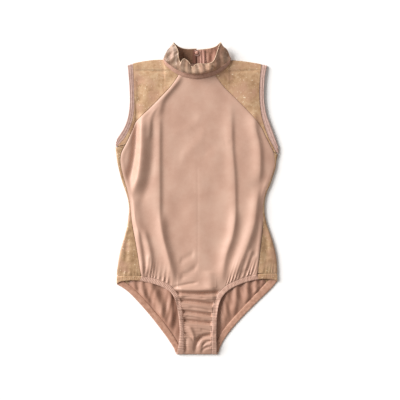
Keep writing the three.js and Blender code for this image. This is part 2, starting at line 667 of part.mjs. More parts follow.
// A back half, from the neck to the crotch, lying on the surface
function backRows(side) {
  const s = sign[side];
  const rows = [];
  const middleX = s * seamGap / 2;
  const addRow = (outX, outY, midY, step) => {
    const count = clamp(Math.round(Math.abs(outX) / step), 2, 24);
    const row = [];
    for (let n = 0; n <= count; n++) {
      const t = n / count;
      const x = lerp(outX, middleX, t);
      row.push(backPoint(x, lerp(outY, midY, 1 - (1 - t) ** 2), x));
    }
    rows.push(side === "left" ? row : row.reverse());
  };
  const seam = (y) => backSeamX[side](y) - s * seamGap / 2;
  addRow(s * 45.4, 301.6, 298.8, 20);
  const levels = [...seamLevels, underarm[side].seamY, hipSeamY[side] + seamGap].sort((a, b) => b - a);
  for (const level of levels) {
    const y = sideBackY(side, level);
    addRow(seam(y), y, y > -110 ? y : y - 4, y > -110 ? 60 : 9);
  }
  const legEnd = crotchY + 8 + seamGap;
  for (const y of [-211, -222, -236, -252, -268, -284, -299, -314, -330]) {
    addRow(backLegSeamX[side](y) - s * seamGap * 2, y, lerp(y, legEnd, 0.03), 8);
  }
  addRow(s * 34, legEnd, legEnd, 7);
  return rows;
}

// A band of binding: a closed loop of stations, each with four corners of its section
function bandGeometry(stationList) {
  const rows = [0, 1, 2].map((k) => stationList.map((station, n) => ({
    key: n,
    outer: station.outer[k],
    inner: station.inner[k],
  })));
  return wallGeometry(rows, true);
}

// One station of a binding across a front, fold or back stretch; free and seam are its two edges
function bandStation(kind, free, seam, turn = 0, out = [0, 0]) {
  const crown = 0.4;
  const mid = [(free[0] + seam[0]) / 2, (free[1] + seam[1]) / 2];
  const points = [free, mid, seam].map(([x, y], k) => {
    const proud = k === 1 ? crown : 0;
    if (kind === "fold") return foldPoint(x, y, out[0], out[1], turn, k, bindingThickness);
    if (kind === "back") {
      return { outer: [x, y, 0], inner: [x, y, bindingThickness + proud] };
    }
    const height = frontZ(x, y);
    return { outer: [x, y, height + proud], inner: [x, y, height - bindingThickness] };
  });
  return { outer: points.map((p) => p.outer), inner: points.map((p) => p.inner) };
}

const foldTurns = [0, 0.25, 0.5, 0.75, 1];

function legBinding(side) {
  const s = sign[side];
  const list = [];
  const { free, seam } = frontLegCurves[side];
  const frontCount = 30;
  const placeOn = (curve, t) => {
    const p = curve.getPointAt(t);
    return [p.x, p.y];
  };
  for (let n = frontCount; n >= 0; n--) {
    const t = lerp(0.035, 0.985, n / frontCount);
    list.push(bandStation("front", placeOn(free, t), placeOn(seam, t)));
  }
  const hip = frontLeg[side][0];
  const hipBack = backLeg[side][0];
  for (const turn of foldTurns) {
    list.push(bandStation(
      "fold",
      [s * 184.9, lerp(hip.freeY, hipBack.freeY, turn)],
      [s * 184.9, lerp(hip.seamY, hipBack.seamY, turn)],
      turn, [s, 0],
    ));
  }
  const backFree = curve2(backLeg[side], "freeX", "freeY");
  const backSeamCurve = curve2(backLeg[side], "seamX", "seamY");
  const backCount = 16;
  for (let n = 0; n <= backCount; n++) {
    const t = lerp(0.04, 1, n / backCount);
    list.push(bandStation("back", placeOn(backFree, t), placeOn(backSeamCurve, t)));
  }
  // Turning up at the crotch: the band meets its front end
  const lastFront = frontLeg[side][frontLeg[side].length - 1];
  for (const turn of [1, 0.75, 0.5, 0.25, 0]) {
    list.push(bandStation(
      "fold",
      [lastFront.freeX + s * 4 * turn, crotchY],
      [lastFront.seamX + s * 3 * turn, crotchY],
      turn, [0, -1],
    ));
  }
  return side === "left" ? list : list.reverse();
}

function armholeBinding(side) {
  const s = sign[side];
  const list = [];
  const { freeY, seamY } = underarm[side];
  const edges = (y, drop) => {
    const freeAt = y;
    const seamAt = y - drop;
    return [
      [outlineX[side](freeAt), freeAt],
      [armholeX[side](seamAt) + s * seamGap * 1.5, seamAt],
    ];
  };
  const levels = [];
  const count = 15;
  const top = 300;
  for (let n = 0; n <= count; n++) levels.push(lerp(top, freeY + 5, (n / count) ** 0.8));
  const dropAt = (y) => 8 * smooth(clamp((200 - y) / (200 - freeY), 0, 1));
  for (const y of levels) {
    const [free, seam] = edges(y, dropAt(y));
    list.push(bandStation("front", free, seam));
  }
  const tipX = outlineX[side](freeY);
  for (const turn of foldTurns) {
    list.push(bandStation("fold", [tipX, freeY], [tipX + s * 0.3, seamY + 0.4], turn, [s, 0]));
  }
  for (const y of [...levels].reverse()) {
    const [free, seam] = edges(y, dropAt(y));
    list.push(bandStation("back", free, seam));
  }
  for (const turn of [...foldTurns].reverse()) {
    const foldAt = (x) => [x, shoulderY[side](x)];
    const free = foldAt(outlineX[side](306));
    const seam = foldAt(armholeX[side](309) + s * seamGap / 2);
    list.push(bandStation("fold", free, seam, turn, [0, 1]));
  }
  return side === "left" ? list.reverse() : list;
}

// The neck's surface: around runs from the right side of the slit (0) round to the left side (1);
// up runs from the neck seam (0) by the band top (1) and collar middle (2) to the free edge (3)
const neckLevels = ["seam", "band", "middle", "edge"];
const neckCurves = neckLevels.map((name) => {
  const points = neckSections.map((row) => new THREE.Vector3(...row[name]));
  return curveThrough(points);
});

function neckPoint(around, up) {
  const level = clamp(Math.floor(up), 0, 2);
  const f = up - level;
  const at = (k) => neckCurves[clamp(k, 0, 3)].getPoint(clamp(around, 0, 1));
  const p = [at(level - 1), at(level), at(level + 1), at(level + 2)];
  const point = new THREE.Vector3();
  for (const axis of ["x", "y", "z"]) {
    const [a, b, c, d] = p.map((v) => v[axis]);
    const low = level === 0 ? c - b : (c - a) / 2;
    const high = level === 2 ? c - b : (d - b) / 2;
    const h00 = (1 + 2 * f) * (1 - f) ** 2;
    point[axis] = h00 * b + f * (1 - f) ** 2 * low + (1 - h00) * c - f * f * (1 - f) * high;
  }
  return point;
}

// Outward normal of the neck's surface
function neckNormal(around, up) {
  const step = 0.004;
  const a = neckPoint(clamp(around - step, 0, 1), up);
  const b = neckPoint(clamp(around + step, 0, 1), up);
  const c = neckPoint(around, clamp(up - 0.05, 0, 3));
  const d = neckPoint(around, clamp(up + 0.05, 0, 3));
  return new THREE.Vector3().crossVectors(d.sub(c), b.sub(a)).normalize();
}

// The ruffle grows from nothing at the collar's foot to full waves at its free edge
function ruffle(around, up) {
  const calm = smooth(clamp((Math.min(around, 1 - around) - 0.035) / 0.08, 0, 1));
  const rise = clamp((up - 1) / 2, 0, 1);
  const edgeWave = Math.sin(2 * Math.PI * (collarRuffle.waves * around + 0.35 * Math.sin(9 * around)));
  const standWave = Math.cos(2 * Math.PI * collarRuffle.stands * around);
  const { depth, standDepth } = collarRuffle;
  return calm * (depth * rise ** 2.2 * edgeWave + standDepth * Math.sin(Math.PI * rise) * standWave);
}

// Rows of a wall on the neck's surface, moved outwards by shift, with or without the ruffle
function neckWallRows(fromAround, toAround, steps, ups, thickness, wave, shift = 0) {
  return ups.map((up) => {
    const row = [];
    for (let n = 0; n <= steps; n++) {
      const around = lerp(fromAround, toAround, n / steps);
      const normal = neckNormal(around, up);
      const moved = shift + (wave ? ruffle(around, up) : 0);
      const middle = neckPoint(around, up).addScaledVector(normal, moved);
      const outer = middle.clone().addScaledVector(normal, thickness / 2);
      const inner = middle.clone().addScaledVector(normal, -thickness / 2);
      row.push({ key: n, outer: outer.toArray(), inner: inner.toArray() });
    }
    return row;
  });
}

// The covered button: a low dome on the right facing, and the loop from the left that holds it
function buttonGeometry() {
  const profile = [
    new THREE.Vector2(0, 0),
    new THREE.Vector2(buttonRadius * 0.8, 0),
    new THREE.Vector2(buttonRadius, buttonHeight * 0.3),
    new THREE.Vector2(buttonRadius * 0.86, buttonHeight * 0.72),
    new THREE.Vector2(buttonRadius * 0.5, buttonHeight * 0.95),
    new THREE.Vector2(0, buttonHeight),
  ];
  return new THREE.LatheGeometry(profile, 16);
}

function loopGeometry() {
  const radius = buttonRadius + loopCord / 2 + 0.5;
  const bend = [];
  for (let n = 0; n <= 10; n++) {
    const angle = lerp(-2.5, 2.5, n / 10);
    bend.push(new THREE.Vector3(radius * Math.cos(angle), radius * Math.sin(angle), 0));
  }
  const section = new THREE.Shape();
  section.absarc(0, 0, loopCord / 2, 0, 2 * Math.PI, false);
  return new THREE.ExtrudeGeometry(section, {
    steps: 18,
    curveSegments: 4,
    bevelEnabled: false,
    extrudePath: new THREE.CatmullRomCurve3(bend),
  });
}

// Finishes: cloth has a soft satin sheen, lace a dry metallic one
const finishes = {
  tricot: { color: clothColor, roughness: 0.55, metalness: 0 },
  lace: { color: laceColor, roughness: 0.6, metalness: 0.15 },
  binding: { color: bindingColor, roughness: 0.6, metalness: 0 },
  facing: { color: facingColor, roughness: 0.55, metalness: 0 },
};

const leotard = new THREE.Group();
function addPiece(name, geometry, finish) {
  const mesh = new THREE.Mesh(geometry, new THREE.MeshStandardMaterial(finishes[finish]));
  mesh.name = name;
  leotard.add(mesh);
  return mesh;
}

addPiece("front_panel", wallGeometry(frontPanelRows()), "tricot");
for (const side of sides) {
  addPiece(`back_${side}`, wallGeometry(backRows(side)), "tricot");
  addPiece(`front_yoke_${side}`, wallGeometry(frontYokeRows(side)), "lace");
  addPiece(`back_yoke_${side}`, wallGeometry(backYokeRows(side)), "lace");
  addPiece(`side_panel_${side}`, wallGeometry(sidePanelRows(side)), "lace");
  addPiece(`leg_binding_${side}`, bandGeometry(legBinding(side)), "binding");
  addPiece(`armhole_binding_${side}`, bandGeometry(armholeBinding(side)), "binding");
}

const around = { band: 36, collar: 56, placket: 3 };
const placketWidth = { left: 0.025, right: 0.03 };   // as a share of the way round the neck
const placketGap = collarThickness / 2 + seamGap + facingThickness / 2;
addPiece("neckband", wallGeometry(
  neckWallRows(0, 1, around.band, [0.04, 0.5, 0.97], bandThickness, false),
), "binding");
addPiece("collar", wallGeometry(
  neckWallRows(0, 1, around.collar, [1.03, 1.5, 2, 2.45, 2.75, 3], collarThickness, true),
), "lace");

for (const side of sides) {
  const start = side === "right" ? 0 : 1 - placketWidth.left;
  const rows = neckWallRows(
    start, start + placketWidth[side], around.placket,
    [1.06, 1.6, 2.2, 2.6, 2.86], facingThickness, false, -placketGap,
  );
  addPiece(`placket_${side}`, wallGeometry(rows), "facing");
}
const facingTop = placketGap + facingThickness / 2 + seamGap;
const fastening = neckPoint(0, buttonUp);
fastening.addScaledVector(neckNormal(0, buttonUp), -facingTop);
for (const [name, geometry, lift] of [
  ["collar_button", buttonGeometry(), 0],
  ["collar_loop", loopGeometry(), loopCord / 2 + 0.5],
]) {
  const piece = addPiece(name, geometry, "facing");
  const inward = neckNormal(0, buttonUp).negate();
  inward.x = 0;
  piece.rotation.x = Math.atan2(-inward.y, inward.z) + (name === "collar_button" ? Math.PI / 2 : 0);
  piece.position.set(0, fastening.y + inward.y * lift, fastening.z + inward.z * lift);
}

export default leotard;
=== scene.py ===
import math
import bpy
import numpy as np
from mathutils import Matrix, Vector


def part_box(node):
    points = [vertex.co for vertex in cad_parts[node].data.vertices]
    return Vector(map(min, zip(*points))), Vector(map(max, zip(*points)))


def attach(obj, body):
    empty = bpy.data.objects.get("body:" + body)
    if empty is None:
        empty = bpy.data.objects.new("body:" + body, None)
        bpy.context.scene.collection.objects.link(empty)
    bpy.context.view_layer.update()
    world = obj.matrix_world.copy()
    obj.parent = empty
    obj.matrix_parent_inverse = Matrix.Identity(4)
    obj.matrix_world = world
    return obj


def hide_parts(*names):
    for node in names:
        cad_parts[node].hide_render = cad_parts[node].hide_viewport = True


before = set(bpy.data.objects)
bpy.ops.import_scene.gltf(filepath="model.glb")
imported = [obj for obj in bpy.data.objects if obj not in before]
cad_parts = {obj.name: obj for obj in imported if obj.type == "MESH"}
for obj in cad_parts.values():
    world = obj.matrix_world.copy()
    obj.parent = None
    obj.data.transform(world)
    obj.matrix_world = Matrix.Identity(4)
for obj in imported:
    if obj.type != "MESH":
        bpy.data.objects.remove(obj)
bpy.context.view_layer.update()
print("frame loaded:", len(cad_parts), "nodes")

# Everything below is worked out in millimetres and turned to metres when a mesh is made.
# Left and right are as seen from above; +Y runs to the collar.
mm = 0.001

shape = {
    "foldHeight": 5.0,      # two layers at a side, shoulder or crotch fold
    "bodyRise": 4.0,        # the front stands this much higher away from its edges
    "riseLength": 30.0,
    "strapRise": 2.6,       # the gathered strap is thick with folded cloth
    "edgeCalm": 16.0,       # folds fade out this near an edge
    "crotchY": -358.0,
    "seamGap": 0.3,
    "cloth": 0.8,           # thickness of the tricot and lace shells
    "binding": 1.7,
}
foldRadius = shape["foldHeight"] / 2
crotchY = shape["crotchY"]
gap = shape["seamGap"]
sides = ("left", "right")
sign = {"left": -1.0, "right": 1.0}

# Edge of the front: level, left, right
outline = [
    (322, -160, 161), (306, -159.6, 161), (284, -157.5, 156.5), (261, -155.7, 154.6),
    (236, -154.6, 153.9), (217, -154.8, 155.2), (194, -157.5, 159.4), (176, -162.1, 165.4),
    (160, -169, 171.6), (144, -179.4, 177.4), (130, -187.4, 182.4), (112, -186.8, 187.9),
    (88, -184, 183), (70, -180.5, 180.6), (52, -175.9, 175), (33, -170.2, 168.8),
    (15, -163.8, 161), (-3, -158.7, 156.4), (-22, -156.4, 155.2), (-40, -157.5, 156.6),
    (-59, -159.8, 160.6), (-77, -163.8, 166.8), (-95, -169, 173), (-114, -174.8, 178.2),
    (-132, -178.7, 182), (-151, -181.7, 184), (-169, -184, 184.8), (-200, -185.2, 185),
]
# Seam between the front panel and the lace
frontSeam = [
    (286, -40, 40), (258, -59.3, 60.5), (239, -76.8, 79.3), (204, -111.5, 114.5),
    (179, -138, 137), (161, -146.5, 149.5), (146, -153, 156.5), (125, -163.2, 167),
    (106, -173, 176.2), (88, -176, 178.4), (72, -174.2, 177), (50, -169, 171),
    (18, -160, 158.4), (-20, -153, 151.4), (-56, -149, 152), (-109, -139.4, 146.4),
    (-155, -132, 141), (-178, -128, 138.6),
]
# Seam between the back halves and the lace, hidden under the front
backSeam = [
    (304, -45, 45), (258, -64, 65), (239, -81, 83), (204, -114, 116), (179, -136, 138),
    (146, -152, 152), (106, -160, 158), (72, -156, 154), (18, -142, 140), (-20, -136, 134),
    (-56, -136, 136), (-109, -142, 145), (-155, -152, 154), (-206, -159, 159),
]
# Edge where the lace meets the armhole binding
armholeSeam = [
    (322, -147.4, 149), (306, -146.8, 147.6), (284, -145.8, 145), (261, -144.9, 143.4),
    (236, -144, 143), (217, -143.8, 144.2), (194, -145.6, 147.3), (177, -148.9, 151.4),
    (159, -155.6, 157), (139, -166.1, 164.6), (128, -176, 170.4), (118, -184.6, 175.6),
    (104, -188, 182.6),
]
underarm = {"left": (131, 118.6), "right": (114, 102.6)}   # binding's free and seam edge at the fold

# Leg hems: free edge x, y and seam edge x, y, from the hip to the crotch
frontLeg = {
    "left": [
        (-184.6, -194.8, -183.6, -177.2), (-173.6, -190.4, -172, -177), (-156, -188.2, -155, -176.8),
        (-134, -188.6, -128, -177.6), (-108, -193.8, -103.5, -182), (-87, -200.4, -80.5, -190),
        (-68.5, -209, -61, -200), (-57.5, -219, -48.8, -213), (-50.4, -232, -41, -228),
        (-45.4, -250, -35.6, -247), (-41.4, -279, -31.4, -278), (-39.6, -316, -29.4, -316),
        (-45.6, -352, -29.6, -352),
    ],
    "right": [
        (184.6, -188.8, 184.2, -171.4), (172, -185.6, 171, -171.8), (152, -184.6, 155, -172),
        (132, -187, 138.6, -173.4), (112.5, -192, 113, -179.8), (92, -199.8, 89.5, -188.2),
        (73.5, -210, 67, -199.4), (60, -223.4, 50.6, -215), (52, -238, 42.6, -229.6),
        (47.6, -257, 37.4, -250), (45.2, -284, 34.6, -279), (44.6, -320, 33.8, -316),
        (45.4, -352, 33.8, -352),
    ],
}
backLeg = {
    "left": [
        (-184, -197.6, -182, -182), (-172, -204.4, -168, -193), (-157.5, -215.2, -152, -204.6),
        (-140.3, -232.2, -134, -220.6), (-123, -251.4, -117.5, -238), (-105.8, -271.4, -100, -258),
        (-90.4, -291, -83, -278), (-75, -311.4, -67, -299), (-62, -330, -53.5, -319),
        (-52.5, -345, -43, -336.4),
    ],
    "right": [
        (184, -190.8, 182, -176.6), (173, -204, 167.4, -188.6), (157.6, -219.6, 152, -204),
        (139.6, -236.8, 134, -222.8), (121.8, -254.6, 116, -241.6), (104, -272.6, 98, -260.8),
        (88, -290.4, 81.6, -278.6), (72.4, -309.6, 65.4, -298), (60.6, -326.8, 51.6, -318),
        (52.6, -343, 43.4, -335.6),
    ],
}
shoulderTop = {
    "left": [(-161, 305.6), (-147, 310.4), (-131, 314), (-108, 317.6), (-90, 319), (-74, 319)],
    "right": [(74, 318), (90, 317.2), (108, 315.4), (131, 312), (147, 309), (162, 305.4)],
}
shoulderSeamY = 295.6

# Folds of the front: axis, height, low, high, path. A fold follows its path down the body ("y") or across
# it ("x"). Low and high are the widths of its two flanks: left and right, or below and above.
folds = [
    # left of the middle: a tall ridge, the trough beside it, and the long press line
    ("y", 10, 7.5, 17, [(-125, 203), (-127, 165), (-127.5, 118), (-133, 62), (-144, 18), (-148, -4)]),
    ("y", -1.5, 8, 9, [(-100, 196), (-101, 120), (-107, 62), (-120, 10), (-132, -30)]),
    ("y", -6.2, 9, 5.4, [(-135, 190), (-139, 160), (-141, 126), (-145, 92), (-152, 58), (-158, 30)]),
    ("y", 1.9, 7, 4, [(-88, 216), (-98, 203), (-105, 188), (-108, 160), (-109, 130)]),
    ("y", 3.3, 12, 6.5,
     [(-36, 286), (-43, 271), (-54, 257), (-65, 244), (-75, 232), (-82, 219), (-85, 204), (-86, 186)]),
    ("y", 3.4, 17, 6,
     [(-86, 226), (-87, 120), (-86.5, 0), (-86, -50), (-79, -90), (-69, -130), (-61, -164), (-57, -200)]),
    ("y", 4.2, 10, 9, [(-82, -20), (-76, -84), (-64, -132), (-56, -172), (-53, -204)]),
    ("y", 4.4, 5, 15, [(-148, 14), (-144, -28), (-138, -60), (-128, -98)]),
    ("y", 4.2, 9, 7, [(-123, -66), (-116, -92), (-108, -125), (-104, -176)]),
    ("y", 3.0, 6, 5, [(-139, -64), (-131, -104), (-126, -140), (-124, -178)]),
    ("y", 1.4, 4, 3.6, [(-112, -128), (-112, -152), (-113, -178)]),
    # right of the middle
    ("y", 3.0, 15, 5.5,
     [(80, 236), (79, 170), (80, 118), (85, 60), (87, 0),
      (86, -50), (79, -90), (66, -128), (59, -162), (55, -200)]),
    ("y", 3.6, 12, 9, [(90, -12), (84, -84), (72, -124), (62, -160), (57, -202)]),
    ("y", 4.2, 15, 7, [(131, 205), (134, 160), (143, 118), (144, 60), (139, 26)]),
    ("y", 6.8, 16, 9.5,
     [(139, 34), (137, 0), (132, -48), (127, -69), (116, -102), (102, -139), (88, -173), (83, -200)]),
    ("y", 2.8, 6, 5, [(127, -112), (123, -126), (117, -144), (108, -170)]),
    ("y", 1.6, 5, 4, [(134, -128), (129, -150), (124, -172)]),
    # small ones in the middle
    ("y", -0.22, 2.2, 2.2, [(1, 112), (2, -60), (1, -205)]),
    ("y", -1.4, 30, 26, [(-44, 20), (-40, -60), (-34, -150)]),
    ("y", -1.2, 26, 26, [(40, 60), (44, -40), (38, -140)]),
    ("x", -1.3, 7, 7, [(-42, -146), (-22, -135), (-4, -124)]),
    ("x", -1.8, 7, 7, [(-42, -183), (-20, -171), (4, -154)]),
    ("x", -2.2, 4, 4, [(-62, -206), (-40, -201), (-16, -196), (6, -193)]),
    ("x", 0.7, 12, 10, [(-44, 88), (-10, 118), (24, 152)]),
    ("x", -0.5, 8, 10, [(8, 96), (40, 122), (72, 133)]),
    ("x", 0.55, 9, 9, [(-60, 150), (-24, 160), (16, 190)]),
    ("x", -0.9, 4, 3, [(60, 126), (72, 125), (84, 132)]),
    ("y", 2.4, 14, 11, [(28, -164), (30, -184), (30, -200), (31, -213)]),
    # the lace: a dip beside each armhole, the shoulder seams and the sides
    ("y", -1.8, 6, 14, [(-136, 284), (-134, 250), (-133, 214)]),
    ("y", -1.5, 3, 12, [(-140, 232), (-139, 200), (-141, 168)]),
    ("y", 0.8, 20, 24, [(-104, 292), (-108, 250), (-116, 220)]),
    ("y", 1.0, 18, 16, [(112, 280), (116, 250), (122, 206)]),
    ("x", -1.5, 1.8, 4, [(-146, 292.6), (-110, 292), (-62, 288)]),
    ("x", -1.5, 1.8, 4, [(60, 289), (100, 291.4), (146, 294)]),
    ("y", -1.8, 6, 8, [(-160, -36), (-163, -90), (-164, -160)]),
    ("y", -1.6, 8, 7, [(158, -36), (160, -90), (158, -160)]),
    # the gathered strap between the legs: four deep creases, finer ones between, and a fork below
    ("x", 2.6, 5, 12, [(-58, -207), (0, -209), (52, -207)]),
    ("x", -7.4, 3.6, 5.4, [(-68, -215), (0, -219.5), (66, -216)]),
    ("x", -2.4, 2.4, 2.8, [(-40, -227), (-8, -226), (24, -230)]),
    ("x", -7.0, 3.6, 5.6, [(-58, -232), (0, -238.5), (54, -246)]),
    ("x", -1.8, 2.4, 2.6, [(-22, -249), (16, -254), (36, -259)]),
    ("x", -7.0, 3.4, 5, [(-56, -257), (0, -264), (53, -271)]),
    ("x", -1.8, 2.4, 2.8, [(-32, -271), (-6, -274), (18, -279)]),
    ("x", -7.0, 3.4, 5.4, [(-54, -277.5), (2, -284), (53, -290)]),
    ("x", -1.4, 2.4, 2.8, [(6, -301), (20, -303), (36, -306)]),
    ("y", 3.0, 7, 5, [(-20, -290), (-12, -306), (-6, -326)]),
    ("x", -2.2, 3, 3.4, [(-34, -306), (-18, -314), (-6, -326)]),
    ("x", -5.6, 4, 4.6, [(-6, -340), (10, -319), (48, -311)]),
    ("x", -2.8, 3, 3.4, [(8, -342), (22, -330), (46, -324)]),
    ("y", -3.0, 5, 6, [(-2, -318), (-3, -336), (-4, -356)]),
    ("y", -2.4, 5, 5, [(-26, -316), (-25, -356)]),
    ("x", -2.4, 3, 3.2, [(6, -352), (22, -342), (42, -337)]),
]

# Gathers drawn up by the leg elastic. fade: how far up they reach; lean: how far they slope for each mm up
frontGathers = [
    {"span": (-128, -56), "waves": 8.5, "depth": 2.2, "fade": 15, "lean": 0.14},
    {"span": (62, 137), "waves": 9, "depth": 2.2, "fade": 16, "lean": 0.36},
    {"span": (-182, -130), "waves": 6, "depth": 1.1, "fade": 10, "lean": 0.1},
    {"span": (140, 182), "waves": 5, "depth": 1.1, "fade": 10, "lean": 0.15},
]
strapPucker = {"pitch": 5.2, "depth": 1.1, "fade": 6.0, "ruching": 0.3}
hemLift = {"height": 2.4, "fade": 32.0}      # the front hems stand off the back
backGathers = {"spacing": 16.0, "depth": 1.3, "covered": 0.6, "inset": 40.0, "fade": 80.0}
# Folds of the back where it shows below the front hems, running on under them
backFolds = [
    ("y", 3.8, 6, 5, [(-150, -150), (-145, -186), (-143, -224)]),
    ("y", 5.0, 8, 6, [(-128, -140), (-126, -190), (-125, -212), (-117, -232), (-108, -248)]),
    ("y", 6.4, 10, 9, [(-112, -140), (-106, -198), (-94, -222), (-85, -244), (-80, -268), (-82, -298)]),
    ("y", 4.4, 10, 6, [(-70, -185), (-62, -220), (-59, -262), (-61, -304)]),
    ("y", 3.2, 8, 7, [(72, -200), (67, -240), (66, -262), (64, -292)]),
    ("y", 4.4, 9, 6, [(92, -160), (90, -205), (88, -246), (84, -272)]),
    ("y", 4.8, 8, 6, [(113, -150), (115, -200), (116, -246)]),
    ("y", 4.2, 7, 5.5, [(134, -150), (136, -195), (137, -230)]),
    ("y", 3.0, 6, 5, [(150, -160), (152, -190), (153, -212)]),
]


def smooth(t):
    t = np.clip(t, 0, 1)
    return t * t * (3 - 2 * t)


def curveThrough(keys, values):
    # a smooth function through a table's rows
    order = np.argsort(keys)
    k = np.asarray(keys, float)[order]
    v = np.asarray(values, float)[order]
    n = np.arange(len(k))
    a, b = np.maximum(n - 1, 0), np.minimum(n + 1, len(k) - 1)
    slope = (v[b] - v[a]) / (k[b] - k[a])

    def at(x):
        x = np.asarray(x, float)
        i = np.clip(np.searchsorted(k, x) - 1, 0, len(k) - 2)
        h = k[i + 1] - k[i]
        t = np.clip((x - k[i]) / h, 0, 1)
        w = (1 + 2 * t) * (1 - t) ** 2
        inside = w * v[i] + (1 - w) * v[i + 1] + h * t * (1 - t) * ((1 - t) * slope[i] - t * slope[i + 1])
        return inside + np.minimum(x - k[0], 0) * slope[0] + np.maximum(x - k[-1], 0) * slope[-1]
    return at


def pathThrough(points):
    # a smooth path through points, by share of its length
    points = np.asarray(points, float)
    chord = np.concatenate([[0], np.cumsum(np.linalg.norm(np.diff(points, axis=0), axis=1))])
    axes = [curveThrough(chord / chord[-1], points[:, k]) for k in range(points.shape[1])]
    return lambda t: np.stack([axis(t) for axis in axes], -1)


def curveOf(rows, key, value):
    return curveThrough([row[key] for row in rows], [row[value] for row in rows])


def sideCurve(table):
    return {"left": curveOf(table, 0, 1), "right": curveOf(table, 0, 2)}


def readFold(axis, height, low, high, path):
    key, value = (1, 0) if axis == "y" else (0, 1)
    keys = [point[key] for point in path]
    return {"axis": axis, "height": height, "low": low, "high": high,
            "line": curveOf(path, key, value), "ends": (min(keys), max(keys))}


outlineX = sideCurve(outline)
frontSeamX = sideCurve(frontSeam)
backSeamX = sideCurve(backSeam)
armholeX = sideCurve(armholeSeam)
shoulderY = {s: curveOf(shoulderTop[s], 0, 1) for s in sides}
legFree = {s: pathThrough([row[:2] for row in frontLeg[s]]) for s in sides}
legSeam = {s: pathThrough([row[2:] for row in frontLeg[s]]) for s in sides}
legY = {s: curveOf(frontLeg[s][:10], 0, 1) for s in sides}
legSeamY = {s: curveOf(frontLeg[s][:9], 2, 3) for s in sides}
strapSeamX = {s: curveOf(frontLeg[s][7:], 3, 2) for s in sides}
backLegSeamX = {s: curveOf(backLeg[s], 3, 2) for s in sides}
frontFolds = [readFold(*row) for row in folds]
seatFolds = [readFold(*row) for row in backFolds]


def bySide(x, curves, at):
    return np.where(x < 0, curves["left"](at), curves["right"](at))


def strapInward(x, y):
    # how far inside the seams of the strap's bindings a point lies
    return np.where(x < 0, -strapSeamX["left"](y), strapSeamX["right"](y)) - np.abs(x)


# where each edge of the front begins to count
edgeZones = {"hipY": -200, "legY": -130, "strapY": -205, "strapX": 45.3, "shoulderY": 250, "shoulderX": 74}


def edgeDistance(x, y):
    # distance of a front point from the nearest edge of the front
    s = np.where(x < 0, -1.0, 1.0)
    away = (bySide(x, outlineX, np.maximum(y, edgeZones["hipY"])) - x) * s
    overLeg = (y < edgeZones["legY"]) & (np.abs(x) > edgeZones["strapX"])
    legAway = y - bySide(x, legY, x) + 80 * smooth((y + 186) / 50)
    away = np.where(overLeg, np.minimum(away, legAway), away)
    strapAway = edgeZones["strapX"] - 2 - np.abs(x) + 60 * smooth((y + 240) / 30)
    away = np.where(y < edgeZones["strapY"], np.minimum(away, strapAway), away)
    overShoulder = (y > edgeZones["shoulderY"]) & (np.abs(x) > edgeZones["shoulderX"])
    away = np.where(overShoulder, np.minimum(away, bySide(x, shoulderY, x) - y), away)
    return np.maximum(away, 0)


def foldSum(x, y, table):
    total = np.zeros_like(x)
    taperShare = 0.22        # share of its run over which a fold's ends fade
    for fold in table:
        key, across = (y, x) if fold["axis"] == "y" else (x, y)
        line = fold["line"]
        slope = (line(key + 1) - line(key - 1)) / 2
        d = (across - line(key)) / np.sqrt(1 + slope ** 2)
        width = np.where(d < 0, fold["low"], fold["high"])
        low, high = fold["ends"]
        reach = taperShare * (high - low)
        taper = smooth((key - low) / reach) * smooth((high - key) / reach)
        total += fold["height"] * np.exp(-((d / width) ** 2)) * taper
    return total


def gatherSum(x, y):
    total = np.zeros_like(x)
    above = np.maximum(0, y - bySide(x, legSeamY, x))
    sewn = smooth((above + 1) / 5.5)
    for gather in frontGathers:
        start, end = gather["span"]
        u = (x - gather["lean"] * above - start) / (end - start)
        wobble = 0.3 * np.sin(7.3 * u + start) + 0.1 * np.sin(17 * u)
        wave = 2 * (0.5 + 0.5 * np.cos(2 * math.pi * (gather["waves"] * u + wobble))) ** 1.5 - 0.8
        uneven = 0.72 + 0.28 * np.sin(11 * u + 0.4 * start)
        ends = np.sqrt(np.clip(np.sin(math.pi * np.clip(u, 0, 1)), 0, 1))
        total += gather["depth"] * uneven * ends * wave * sewn * np.exp(-above / gather["fade"])
    return total * smooth((-120 - y) / 30) * smooth((y + 225) / 10)


def strapSum(x, y):
    # fine puckers drawn in from the bindings of the strap, and its ruching
    edge = strapInward(x, y)
    shift = np.where(x < 0, 0.0, 1.7)
    wave = np.cos(2 * math.pi * (y / strapPucker["pitch"] + 0.25 * np.sin(y / 9.0 + shift)) + shift)
    pucker = strapPucker["depth"] * wave * np.exp(-np.maximum(edge, 0) / strapPucker["fade"])
    ruching = np.sin(2 * math.pi * y / 6.8 + 1.5 * np.sin(x / 15 + y / 21) + x / 26)
    ruching = ruching * (0.6 + 0.4 * np.sin(x / 11 + y / 17))
    sewn = 0.15 + 0.85 * smooth((edge + 0.5) / 2)
    shown = smooth((-213 - y) / 14) * smooth((y + 356) / 12)
    return (pucker * sewn + strapPucker["ruching"] * ruching) * shown


# proud: how far the panel's edge stands up, by the armhole and, added to it, lower down
seamForm = {
    "groove": 0.6, "grooveWidth": 0.9, "laceDrop": 0.8, "laceReach": 9.0, "edgeAt": 4.6, "edgeWidth": 4.4,
    "proud": {"left": (0.75, 0.5), "right": (0.3, 0.95)},
}


